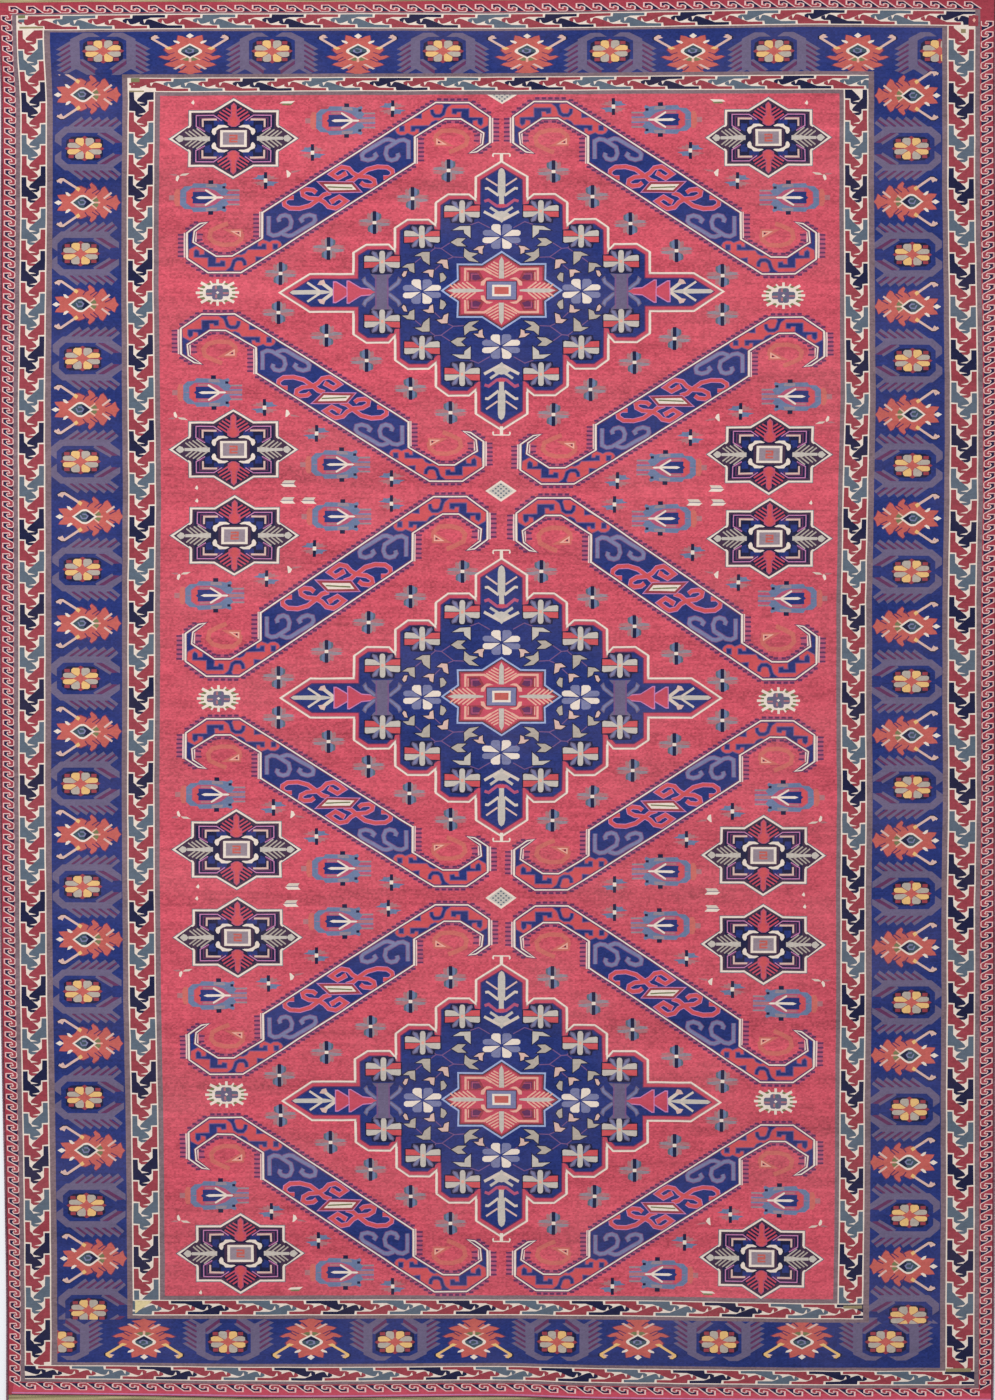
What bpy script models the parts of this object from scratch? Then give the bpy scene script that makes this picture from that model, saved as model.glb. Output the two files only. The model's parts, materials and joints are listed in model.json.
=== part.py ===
"""Shirvan rug, laid flat: a knotted pile body, an overcast selvedge down each long side, and a
flat-woven kilim end across each short side.

Metres, +Z up. The origin is on the floor under the middle of the rug. +Y runs towards the end that
was woven last, along the warps, and +X runs along the wefts. Every piece rests on z = 0.
"""

import bmesh
import bpy

# Driving sizes. The edge tables below hold the rug's uneven outline about these.
PILE_THICKNESS = 0.008
PILE_ROUNDING = 0.002
PILE_ROUNDING_STEPS = 2
SELVEDGE_WIDTH = 0.005
SELVEDGE_HEIGHT = 0.006
SELVEDGE_CORNER = 0.0015
KILIM_WIDTH = 0.022
KILIM_THICKNESS = 0.0025
JOIN_GAP = 0.0003
SIDE_STATIONS = 40
END_STATIONS = 30

# The long sides wander and draw in towards the lower end.
# Columns: y along the rug, x of the left side, x of the right side.
SIDES = (
    (1.400, -1.003, 1.000),
    (1.200, -0.995, 0.997),
    (0.600, -0.999, 1.003),
    (0.000, -0.998, 0.999),
    (-0.600, -0.995, 0.997),
    (-1.000, -0.987, 0.996),
    (-1.200, -0.984, 0.995),
    (-1.400, -0.984, 0.993),
)

# The short ends of the pile.
# Columns: x across the rug, y of the upper end, y of the lower end.
ENDS = (
    (-0.995, 1.395, -1.390),
    (-0.795, 1.397, -1.392),
    (-0.395, 1.397, -1.397),
    (0.005, 1.400, -1.394),
    (0.205, 1.402, -1.400),
    (0.605, 1.407, -1.404),
    (0.995, 1.404, -1.404),
)
LEFT, RIGHT = 1, 2
UPPER, LOWER = 1, 2


def read_edge(table, column, at):
    """The edge's place at one station, on a smooth curve through the table's rows."""
    rows = sorted(table)
    at = min(max(at, rows[0][0]), rows[-1][0])
    index = max(i for i in range(len(rows) - 1) if rows[i][0] <= at)
    before, start, end, after = (
        rows[min(max(index + step, 0), len(rows) - 1)] for step in (-1, 0, 1, 2)
    )
    span = end[0] - start[0]
    t = (at - start[0]) / span
    slope_in = (end[column] - before[column]) / (end[0] - before[0]) * span
    slope_out = (after[column] - start[column]) / (after[0] - start[0]) * span
    return (
        (2 * t**3 - 3 * t**2 + 1) * start[column]
        + (t**3 - 2 * t**2 + t) * slope_in
        + (3 * t**2 - 2 * t**3) * end[column]
        + (t**3 - t**2) * slope_out
    )


def side_x(column, y, inset=0.0):
    """x of the left or right side at y, moved towards the rug's middle by the inset."""
    inwards = 1 if column == LEFT else -1
    return read_edge(SIDES, column, y) + inwards * inset


def end_y(column, x, outset=0.0):
    """y of the upper or lower pile end at x, moved away from the rug's middle by the outset."""
    outwards = 1 if column == UPPER else -1
    return read_edge(ENDS, column, x) + outwards * outset


def spread(first, last, count):
    """Evenly spaced values from first to last, both included."""
    return [first + (last - first) * i / (count - 1) for i in range(count)]


def corner(side, end, inset, outset=0.0):
    """The corner point where one long side meets one short end."""
    y = end_y(end, side_x(side, 1.4 if end == UPPER else -1.4), outset)
    return side_x(side, y, inset), y


def end_line(end, inset, outset=0.0):
    """Points along one short end, from the left side to the right side."""
    first, last = corner(LEFT, end, inset, outset), corner(RIGHT, end, inset, outset)
    across = spread(first[0], last[0], END_STATIONS)
    return [first, *((x, end_y(end, x, outset)) for x in across[1:-1]), last]


def side_line(side, inset):
    """Points along the pile's long side, from its lower end to its upper end."""
    low, high = corner(side, LOWER, inset)[1], corner(side, UPPER, inset)[1]
    return [(side_x(side, y, inset), y) for y in spread(low, high, SIDE_STATIONS)]


def selvedge_line(side):
    """Points along the rug's long side, past both kilim ends."""
    below = [corner(side, LOWER, 0.0, out) for out in (JOIN_GAP + KILIM_WIDTH, JOIN_GAP)]
    above = [corner(side, UPPER, 0.0, out) for out in (JOIN_GAP, JOIN_GAP + KILIM_WIDTH)]
    return below + side_line(side, 0.0) + above


def wool(name, colour, roughness):
    """A matt wool finish."""
    material = bpy.data.materials.new(name)
    material.use_nodes = True
    shader = material.node_tree.nodes["Principled BSDF"]
    shader.inputs["Base Color"].default_value = (*colour, 1.0)
    shader.inputs["Roughness"].default_value = roughness
    shader.inputs["Metallic"].default_value = 0.0
    material.diffuse_color = (*colour, 1.0)
    return material


def finish(name, bm, material):
    """Turns the faces outwards and puts the mesh in the scene under the piece's name."""
    bmesh.ops.recalc_face_normals(bm, faces=bm.faces)
    mesh = bpy.data.meshes.new(name)
    bm.to_mesh(mesh)
    bm.free()
    mesh.materials.append(material)
    piece = bpy.data.objects.new(name, mesh)
    bpy.context.collection.objects.link(piece)
    return piece


def slab(outline, thickness):
    """A flat slab on the floor, extruded up from its outline."""
    bm = bmesh.new()
    base = bm.faces.new([bm.verts.new((x, y, 0.0)) for x, y in outline])
    raised = bmesh.ops.extrude_face_region(bm, geom=[base], use_keep_orig=True)["geom"]
    top = [v for v in raised if isinstance(v, bmesh.types.BMVert)]
    bmesh.ops.translate(bm, verts=top, vec=(0.0, 0.0, thickness))
    return bm


def make_pile_body(material):
    """The knotted body: one slab with the pile's worn, rounded rim."""
    inset = SELVEDGE_WIDTH + JOIN_GAP
    outline = (
        end_line(LOWER, inset)
        + side_line(RIGHT, inset)[1:]
        + end_line(UPPER, inset)[::-1][1:]
        + side_line(LEFT, inset)[::-1][1:-1]
    )
    bm = slab(outline, PILE_THICKNESS)
    rim = [e for e in bm.edges if all(v.co.z > PILE_THICKNESS / 2 for v in e.verts)]
    bmesh.ops.bevel(
        bm,
        geom=rim,
        offset=PILE_ROUNDING,
        segments=PILE_ROUNDING_STEPS,
        affect="EDGES",
        clamp_overlap=True,
    )
    return finish("pile_body", bm, material)


def make_selvedge(name, side, material):
    """One side's overcast cord, swept along the wavy side with a rounded section."""
    inwards = 1 if side == LEFT else -1
    section = (
        (0.0, SELVEDGE_CORNER),
        (SELVEDGE_CORNER, 0.0),
        (SELVEDGE_WIDTH - SELVEDGE_CORNER, 0.0),
        (SELVEDGE_WIDTH, SELVEDGE_CORNER),
        (SELVEDGE_WIDTH, SELVEDGE_HEIGHT - SELVEDGE_CORNER),
        (SELVEDGE_WIDTH - SELVEDGE_CORNER, SELVEDGE_HEIGHT),
        (SELVEDGE_CORNER, SELVEDGE_HEIGHT),
        (0.0, SELVEDGE_HEIGHT - SELVEDGE_CORNER),
    )
    bm = bmesh.new()
    rings = [
        [bm.verts.new((x + inwards * across, y, up)) for across, up in section]
        for x, y in selvedge_line(side)
    ]
    count = len(section)
    for ring, following in zip(rings, rings[1:]):
        for i in range(count):
            j = (i + 1) % count
            bm.faces.new((ring[i], ring[j], following[j], following[i]))
    bm.faces.new(rings[0])
    bm.faces.new(rings[-1])
    return finish(name, bm, material)


def make_kilim_end(name, end, material):
    """One end's flat-woven strip, which follows the pile's wavy end."""
    inset = SELVEDGE_WIDTH + JOIN_GAP
    near = end_line(end, inset, JOIN_GAP)
    far = end_line(end, inset, JOIN_GAP + KILIM_WIDTH)
    return finish(name, slab(near + far[::-1], KILIM_THICKNESS), material)


def main():
    """Clears the scene and builds the five pieces."""
    for old in list(bpy.data.objects):
        bpy.data.objects.remove(old)
    red_wool = wool("red_pile_wool", (0.50, 0.075, 0.10), 0.95)
    dark_wool = wool("dark_overcast_wool", (0.13, 0.045, 0.055), 0.95)
    olive_wool = wool("olive_flat_weave", (0.32, 0.29, 0.15), 0.95)
    make_pile_body(red_wool)
    make_selvedge("selvedge_left", LEFT, dark_wool)
    make_selvedge("selvedge_right", RIGHT, dark_wool)
    make_kilim_end("kilim_end_upper", UPPER, olive_wool)
    make_kilim_end("kilim_end_lower", LOWER, olive_wool)


main()
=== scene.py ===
"""The looks of the shirvan rug: its knotted pile, selvedges and kilim ends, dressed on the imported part.

The pattern is drawn as a weaver's chart, counted from the upper left corner of the pile: column to the
right, row down, one cell for two millimetres. Every motif is a class that draws itself with plain filled
shapes and bands, later shapes over earlier ones. The chart is then cut into faces, a yarn for each face, and
laid where the edges of the real rug wander.
"""

import json
import logging
import math
from dataclasses import dataclass, field, replace
from enum import Enum, unique
from typing import Iterable, Iterator, Sequence

import bmesh
import bpy
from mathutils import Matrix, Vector, noise
from mathutils.geometry import delaunay_2d_cdt

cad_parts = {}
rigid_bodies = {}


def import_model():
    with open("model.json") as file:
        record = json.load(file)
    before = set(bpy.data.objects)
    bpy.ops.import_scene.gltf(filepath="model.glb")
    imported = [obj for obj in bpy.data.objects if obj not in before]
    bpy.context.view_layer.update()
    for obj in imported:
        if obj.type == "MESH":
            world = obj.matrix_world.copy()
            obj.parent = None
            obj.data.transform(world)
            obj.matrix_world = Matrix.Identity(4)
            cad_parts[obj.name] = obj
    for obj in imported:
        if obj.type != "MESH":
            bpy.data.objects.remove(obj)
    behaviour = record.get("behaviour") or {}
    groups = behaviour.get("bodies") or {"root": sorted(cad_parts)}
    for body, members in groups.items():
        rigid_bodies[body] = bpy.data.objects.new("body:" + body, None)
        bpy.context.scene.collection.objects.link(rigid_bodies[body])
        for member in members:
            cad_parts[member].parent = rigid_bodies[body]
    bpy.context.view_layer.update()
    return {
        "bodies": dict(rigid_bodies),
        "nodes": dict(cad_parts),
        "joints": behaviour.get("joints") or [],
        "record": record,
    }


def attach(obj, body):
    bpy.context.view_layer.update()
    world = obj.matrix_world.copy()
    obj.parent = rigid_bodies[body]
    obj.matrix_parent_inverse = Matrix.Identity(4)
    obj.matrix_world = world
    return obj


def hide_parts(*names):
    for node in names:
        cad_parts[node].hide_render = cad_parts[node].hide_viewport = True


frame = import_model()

log = logging.getLogger("shirvan_rug")

Point = tuple[float, float]
Shape = list[Point]
Colour = tuple[float, float, float]

CELL = 0.002  # one cell of the chart, in metres
KNOT_ASPECT = 1.63  # a knot is so many times as wide as it is tall
MIDDLE_COLUMN, MIDDLE_ROW = 497.5, 700.0
RIM_LEFT, RIM_RIGHT = 1.0, 994.4
RIM_TOP, RIM_BOTTOM = 0.0, 1398.0
SELVEDGE_WIDTH = 0.005
JOIN_GAP = 0.0003
KILIM_WIDTH = 0.022
KILIM_THICKNESS = 0.0025

# Columns: y along the rug, x of the left side, x of the right side, in metres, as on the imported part.
SIDES = (
    (1.400, -1.003, 1.000),
    (1.200, -0.995, 0.997),
    (0.600, -0.999, 1.003),
    (0.000, -0.998, 0.999),
    (-0.600, -0.995, 0.997),
    (-1.000, -0.987, 0.996),
    (-1.200, -0.984, 0.995),
    (-1.400, -0.984, 0.993),
)
LEFT, RIGHT = 1, 2
# Columns: x across the rug, y of the upper pile end, y of the lower pile end, in metres.
ENDS = (
    (-0.995, 1.395, -1.390),
    (-0.795, 1.397, -1.392),
    (-0.395, 1.397, -1.397),
    (0.005, 1.400, -1.394),
    (0.205, 1.402, -1.400),
    (0.605, 1.407, -1.404),
    (0.995, 1.404, -1.404),
)
UPPER, LOWER = 1, 2
# How far the weaving strays across at a row, in cells, on each of four upright lines of the border.
ACROSS_LINES = (21.0, 155.0, 843.0, 975.5)
STRAY_ACROSS = (
    (0, -3.4, -0.4, 1.4, -1.1),
    (50, -2.5, 0.0, 1.4, -1.1),
    (100, 0.9, 0.0, 1.4, -1.1),
    (200, 1.1, -1.3, 1.4, -1.1),
    (300, 0.0, -1.3, 2.0, 0.7),
    (400, -1.5, 0.0, 2.6, 2.0),
    (500, -1.3, 1.0, 0.0, 2.0),
    (600, -0.8, 0.0, -1.5, 0.1),
    (700, -1.0, 0.0, -1.8, 0.1),
    (800, -1.0, -0.6, -1.1, 0.7),
    (900, 0.0, 0.0, -2.0, -1.1),
    (1000, 0.9, 1.0, -1.8, -1.1),
    (1100, 2.7, 3.0, -3.0, -1.8),
    (1200, 4.2, 4.4, -3.3, -1.5),
    (1300, 5.2, 5.0, -5.0, -1.8),
    (1400, 5.5, 5.0, -5.0, -2.0),
)
# How far it strays down at a column, in cells, on each of three lying lines of the border.
ALONG_LINES = (12.5, 94.5, 1300.8)
STRAY_ALONG = (
    (0, 2.8, 1.3, -0.4),
    (100, 1.8, 1.3, -0.4),
    (170, 1.0, 1.3, -0.4),
    (330, 0.4, 0.5, -0.8),
    (490, 0.8, 0.0, -0.8),
    (570, 0.0, -0.3, -0.4),
    (650, -1.3, -0.8, 0.0),
    (810, -4.2, -1.2, 3.2),
    (995, -2.2, -1.2, 3.2),
)


def between(rows: Sequence[tuple[float, ...]], column: int, at: float) -> float:
    """Reads a column of a table between its rows.

    Args:
        rows: rows that begin with where they are.
        column: the column to read.
        at: where to read it.

    Returns:
        The value, straight from row to row and even past the ends.
    """
    if at <= rows[0][0]:
        return rows[0][column]
    for low, high in zip(rows, rows[1:]):
        if at <= high[0]:
            share = (at - low[0]) / (high[0] - low[0])
            return low[column] + (high[column] - low[column]) * share
    return rows[-1][column]


def read_edge(table: Sequence[tuple[float, float, float]], column: int, at: float) -> float:
    """Reads an edge of the rug as one smooth line through the rows of its table.

    Args:
        table: rows that begin with where they are.
        column: the edge to read.
        at: where along the edge, in metres.

    Returns:
        How far out the edge lies there, in metres.
    """
    rows = sorted(table)
    at = min(max(at, rows[0][0]), rows[-1][0])
    i = max(k for k in range(len(rows) - 1) if rows[k][0] <= at)
    start, end = rows[i], rows[i + 1]
    before = rows[i - 1] if i else start
    after = rows[i + 2] if i + 2 < len(rows) else end
    span = end[0] - start[0]
    t = (at - start[0]) / span
    slope_in = (end[column] - before[column]) / (end[0] - before[0]) * span
    slope_out = (after[column] - start[column]) / (after[0] - start[0]) * span
    return (
        (2 * t**3 - 3 * t**2 + 1) * start[column]
        + (t**3 - 2 * t**2 + t) * slope_in
        + (3 * t**2 - 2 * t**3) * end[column]
        + (t**3 - t**2) * slope_out
    )


def to_rim(x: float, y: float) -> float:
    """Returns how many cells a point of the chart is from the nearest rim."""
    return min(x - RIM_LEFT, RIM_RIGHT - x, y - RIM_TOP, RIM_BOTTOM - y)


@dataclass(frozen=True)
class Lay:
    """How the rug lies on the floor: where each point of the chart comes to rest."""

    top: float = 0.0078
    rounding: float = 0.002
    wave: float = 0.0007
    calm_rim: float = 0.03
    wobble: float = 0.35
    steady_cells: float = 8

    def rims(self, x: float, y: float) -> tuple[float, float, float, float]:
        """Finds how far the rims stray from the chart's.

        Args:
            x: column of the chart.
            y: row of the chart.

        Returns:
            The strays of the left, right, top and bottom rims, in cells.
        """
        along, across = (MIDDLE_ROW - y) * CELL, (x - MIDDLE_COLUMN) * CELL
        inset = SELVEDGE_WIDTH + JOIN_GAP
        left = MIDDLE_COLUMN + (read_edge(SIDES, LEFT, along) + inset) / CELL - RIM_LEFT
        right = MIDDLE_COLUMN + (read_edge(SIDES, RIGHT, along) - inset) / CELL - RIM_RIGHT
        top = MIDDLE_ROW - read_edge(ENDS, UPPER, across) / CELL - RIM_TOP
        bottom = MIDDLE_ROW - read_edge(ENDS, LOWER, across) / CELL - RIM_BOTTOM
        return left, right, top, bottom

    def drift(self, x: float, y: float) -> Point:
        """Finds how far the weaving drifts from the chart, without its small wobble.

        Args:
            x: column of the chart.
            y: row of the chart.

        Returns:
            The stray across and along, in cells.
        """
        left, right, top, bottom = self.rims(x, y)
        columns = [(line, between(STRAY_ACROSS, i + 1, y)) for i, line in enumerate(ACROSS_LINES)]
        columns = [(RIM_LEFT, left), *columns[:2], (500, 0), *columns[2:], (RIM_RIGHT, right)]
        rows = [(line, between(STRAY_ALONG, i + 1, x)) for i, line in enumerate(ALONG_LINES)]
        rows = [(RIM_TOP, top), *rows[:2], (MIDDLE_ROW, 0), *rows[2:], (RIM_BOTTOM, bottom)]
        return between(columns, 1, x), between(rows, 1, y)

    def stray(self, x: float, y: float) -> Point:
        """Finds how far the woven point strays from the charted one.

        Args:
            x: column of the chart.
            y: row of the chart.

        Returns:
            The stray across and along, in cells.
        """
        across, along = self.drift(x, y)
        inside = min(1.0, max(0.0, to_rim(x, y) / self.steady_cells))
        spot = Vector((x / 17, y / 11, 3.7))
        across += self.wobble * inside * noise.noise(spot)
        along += self.wobble * inside * noise.noise(spot + Vector((31.0, 7.0, 11.0)))
        return across, along

    def charted(self, x: float, y: float) -> Point:
        """Finds the point of the chart that comes to rest at a place counted on the rug.

        Args:
            x: column on the rug.
            y: row on the rug.

        Returns:
            The point, on the chart.
        """
        across, along = self.drift(x, y)
        across, along = self.drift(x - across, y - along)
        return x - across, y - along

    def point(self, x: float, y: float) -> Vector:
        """Finds where a point of the chart rests on the floor.

        Args:
            x: column of the chart.
            y: row of the chart.

        Returns:
            The point on top of the pile, in metres.
        """
        across, along = self.stray(x, y)
        rim = CELL * to_rim(x, y)
        spot = Vector(((x + across - MIDDLE_COLUMN) * CELL, (MIDDLE_ROW - y - along) * CELL, 0.0))
        wave = 0.5 - 0.5 * noise.noise(Vector((spot.x * 3.1, spot.y * 4.3, 0.4)))
        dip = self.wave * wave * min(1.0, max(0.0, rim / self.calm_rim))
        fall = max(0.0, self.rounding - max(rim, 0.0))
        spot.z = self.top - dip - self.rounding + math.sqrt(max(0.0, self.rounding**2 - fall**2))
        return spot


@dataclass(frozen=True)
class YarnFinish:
    """The look of one dyed wool: its colour on screen, how unevenly it took the dye and how worn it is."""

    colour: Colour
    streak: float = 0.10
    wear: float = 0.03
    bump: float = 0.5


@unique
class Yarn(Enum):
    """The dyed wools of the pile, each with its finish."""

    FIELD_RED = YarnFinish((186, 76, 91), streak=0.28, wear=0.05)
    GUARD_RED = YarnFinish((140, 58, 68), streak=0.14)
    RIM_RED = YarnFinish((150, 54, 68), streak=0.14)
    BRIGHT_RED = YarnFinish((180, 70, 88))
    CORAL = YarnFinish((188, 76, 82))
    ROSE = YarnFinish((165, 78, 106))
    DUSTY = YarnFinish((160, 106, 112))
    ORANGE = YarnFinish((178, 88, 82))
    PEACH = YarnFinish((186, 98, 92))
    PEACH_CREAM = YarnFinish((210, 158, 142), streak=0.07)
    CREAM_PINK = YarnFinish((198, 166, 156), streak=0.07)
    HOOK_LINE = YarnFinish((212, 182, 178), streak=0.07)
    IVORY = YarnFinish((214, 200, 188), streak=0.06)
    CREAM = YarnFinish((196, 182, 170), streak=0.06)
    YELLOW = YarnFinish((212, 172, 112), streak=0.06)
    YELLOW_PALE = YarnFinish((206, 190, 146))
    OLIVE = YarnFinish((110, 112, 78))
    OLIVE_PALE = YarnFinish((134, 122, 92))
    TEAL = YarnFinish((84, 96, 110))
    DARK_TEAL = YarnFinish((60, 76, 86))
    PALE_TEAL = YarnFinish((180, 172, 164), streak=0.07)
    PALE_GREY = YarnFinish((165, 155, 145), streak=0.08)
    GREY = YarnFinish((136, 122, 132))
    STRIPE = YarnFinish((116, 97, 104), streak=0.2)
    STEEL_BLUE = YarnFinish((98, 112, 144))
    PALE_BLUE = YarnFinish((146, 160, 194))
    GREY_BLUE = YarnFinish((112, 114, 148))
    ROYAL_BLUE = YarnFinish((36, 48, 106), streak=0.22, wear=0.04)
    NAVY = YarnFinish((28, 30, 60), streak=0.16)
    MAUVE = YarnFinish((98, 89, 116))
    LILAC = YarnFinish((182, 116, 160))
    LILAC_DARK = YarnFinish((110, 78, 118))
    PURPLE = YarnFinish((92, 48, 84))
    DARK_BROWN = YarnFinish((62, 44, 66))


SELVEDGE_WOOL = YarnFinish((112, 74, 88), streak=0.3, wear=0.1)


@dataclass(frozen=True)
class KilimFinish:
    """The look of the flat weave: the colours of its weft rows and the relief of its weave."""

    dark: Colour = (120, 108, 80)
    light: Colour = (186, 174, 134)
    bump: float = 0.5
    relief: float = 0.0006


def linear(colour: Colour) -> tuple[float, float, float, float]:
    """Turns a screen colour into linear light.

    Args:
        colour: its red, green and blue, 0 to 255.

    Returns:
        The light, with full cover.
    """
    shares = [channel / 255 for channel in colour]
    light = [share / 12.92 if share <= 0.04045 else ((share + 0.055) / 1.055) ** 2.4 for share in shares]
    return (*light, 1.0)


@dataclass
class Tree:
    """Short ways to add the nodes that the finishes are made of."""

    nodes: bpy.types.Nodes
    links: bpy.types.NodeLinks

    def __post_init__(self) -> None:
        """Adds the object's own coordinates, which every pattern follows."""
        self.where = self.nodes.new("ShaderNodeTexCoord").outputs["Object"]

    def scaled(self, scale: tuple[float, float, float]) -> bpy.types.NodeSocket:
        """Scales the object's coordinates.

        Args:
            scale: the factor of each axis.

        Returns:
            The scaled coordinates.
        """
        node = self.nodes.new("ShaderNodeMapping")
        node.inputs["Scale"].default_value = scale
        self.links.new(self.where, node.inputs["Vector"])
        return node.outputs["Vector"]

    def noise(self, scale: tuple[float, float, float], detail: float) -> bpy.types.NodeSocket:
        """Adds a noise stretched along the axes.

        Args:
            scale: how often it repeats in a metre on each axis.
            detail: how much fine detail it has.

        Returns:
            The noise, about 0 to 1.
        """
        node = self.nodes.new("ShaderNodeTexNoise")
        node.inputs["Scale"].default_value = 1.0
        node.inputs["Detail"].default_value = detail
        self.links.new(self.scaled(scale), node.inputs["Vector"])
        return node.outputs["Fac"]

    def math(self, operation: str, *values: bpy.types.NodeSocket | float) -> bpy.types.NodeSocket:
        """Adds a sum.

        Args:
            operation: Blender's name for it.
            values: its inputs, sockets or numbers.

        Returns:
            The result.
        """
        node = self.nodes.new("ShaderNodeMath")
        node.operation = operation
        for socket, value in zip(node.inputs, values):
            if isinstance(value, (int, float)):
                socket.default_value = value
            else:
                self.links.new(value, socket)
        return node.outputs["Value"]

    def ramp(self, value: bpy.types.NodeSocket, low: float, high: float) -> bpy.types.NodeSocket:
        """Stretches a value and keeps it between 0 and 1.

        Args:
            value: the value.
            low: what becomes 0.
            high: what becomes 1.

        Returns:
            The stretched value.
        """
        node = self.nodes.new("ShaderNodeMapRange")
        node.inputs["From Min"].default_value = low
        node.inputs["From Max"].default_value = high
        self.links.new(value, node.inputs["Value"])
        return node.outputs["Result"]

    def lit(self, colour: bpy.types.NodeSocket, light: bpy.types.NodeSocket) -> bpy.types.NodeSocket:
        """Makes a colour lighter or darker.

        Args:
            colour: the colour.
            light: how much light falls on it, 1 for no change.

        Returns:
            The lit colour.
        """
        node = self.nodes.new("ShaderNodeVectorMath")
        node.operation = "SCALE"
        self.links.new(colour, node.inputs[0])
        self.links.new(light, node.inputs["Scale"])
        return node.outputs["Vector"]

    def mix(
        self,
        colour: bpy.types.NodeSocket | tuple[float, ...],
        other: tuple[float, ...],
        share: bpy.types.NodeSocket,
    ) -> bpy.types.NodeSocket:
        """Mixes a fixed colour into another.

        Args:
            colour: the first colour, fixed or varying.
            other: the colour to mix in.
            share: how much of it, 0 to 1.

        Returns:
            The mixed colour.
        """
        node = self.nodes.new("ShaderNodeMix")
        node.data_type = "RGBA"
        self.links.new(share, node.inputs["Factor"])
        if isinstance(colour, tuple):
            node.inputs[6].default_value = colour
        else:
            self.links.new(colour, node.inputs[6])
        node.inputs[7].default_value = other
        return node.outputs[2]


@dataclass(frozen=True)
class KnottedWool:
    """The effect that all the wools share: rows of knots, uneven dye across the rug and worn patches."""

    name: str = "Knotted wool"
    knot_width: float = 0.0042
    knot_height: float = 0.0027
    streak_weight: float = 1.0
    abrash_weight: float = 1.3
    blotch_weight: float = 0.8
    knot_weight: float = 0.75
    worn_colour: tuple[float, ...] = (0.62, 0.42, 0.40, 1.0)

    def build(self) -> bpy.types.NodeTree:
        """Builds the node group, or finds it if it is there.

        Returns:
            The group.
        """
        if self.name in bpy.data.node_groups:
            return bpy.data.node_groups[self.name]
        group = bpy.data.node_groups.new(self.name, "ShaderNodeTree")
        face, links = group.interface, group.links
        face.new_socket("Dye", in_out="INPUT", socket_type="NodeSocketColor")
        for socket in ("Streak", "Wear"):
            face.new_socket(socket, in_out="INPUT", socket_type="NodeSocketFloat").default_value = 0.1
        face.new_socket("Colour", in_out="OUTPUT", socket_type="NodeSocketColor")
        for socket in ("Roughness", "Height"):
            face.new_socket(socket, in_out="OUTPUT", socket_type="NodeSocketFloat")
        source = group.nodes.new("NodeGroupInput")
        result = group.nodes.new("NodeGroupOutput")
        tree = Tree(group.nodes, links)
        knots = self.add_knots(tree)
        light = tree.math("MULTIPLY_ADD", self.unevenness(tree, knots), source.outputs["Streak"], 1.0)
        tinted = tree.lit(source.outputs["Dye"], light)
        worn = tree.ramp(tree.noise((5.0, 7.0, 1.0), detail=4.0), 0.42, 0.72)
        worn = tree.math("MULTIPLY", worn, source.outputs["Wear"])
        links.new(tree.mix(tinted, self.worn_colour, worn), result.inputs["Colour"])
        rough = tree.math("MULTIPLY_ADD", knots.outputs["Distance"], 0.08, 0.86)
        links.new(rough, result.inputs["Roughness"])
        tuft = tree.math("SUBTRACT", 1.0, knots.outputs["Distance"])
        fibre = tree.noise((900.0, 1300.0, 1.0), detail=2.0)
        links.new(tree.math("MULTIPLY_ADD", fibre, 0.35, tuft), result.inputs["Height"])
        return group

    def add_knots(self, tree: Tree) -> bpy.types.Node:
        """Adds the cells of the knots.

        Args:
            tree: the group's nodes.

        Returns:
            The node of the cells.
        """
        knots = tree.nodes.new("ShaderNodeTexVoronoi")
        knots.inputs["Scale"].default_value = 1.0
        knots.inputs["Randomness"].default_value = 0.55
        tree.links.new(tree.scaled((1 / self.knot_width, 1 / self.knot_height, 1.0)), knots.inputs["Vector"])
        return knots

    def unevenness(self, tree: Tree, knots: bpy.types.Node) -> bpy.types.NodeSocket:
        """Adds up the ways in which the dye is uneven.

        Args:
            tree: the group's nodes.
            knots: the node of the knots' cells.

        Returns:
            How much lighter or darker the wool is, about -1 to 1.
        """
        knot_shade = tree.nodes.new("ShaderNodeSeparateColor")
        tree.links.new(knots.outputs["Color"], knot_shade.inputs["Color"])
        parts = (
            (tree.noise((8.0, 170.0, 1.0), detail=2.0), self.streak_weight),
            (tree.noise((0.7, 19.0, 1.0), detail=3.0), self.abrash_weight),
            (tree.noise((34.0, 46.0, 1.0), detail=3.0), self.blotch_weight),
            (knot_shade.outputs["Red"], self.knot_weight),
        )
        total = 0.0
        for part, weight in parts:
            centred = tree.math("SUBTRACT", part, 0.5)
            total = tree.math("MULTIPLY_ADD", centred, 2 * weight, total)
        return total


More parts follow.
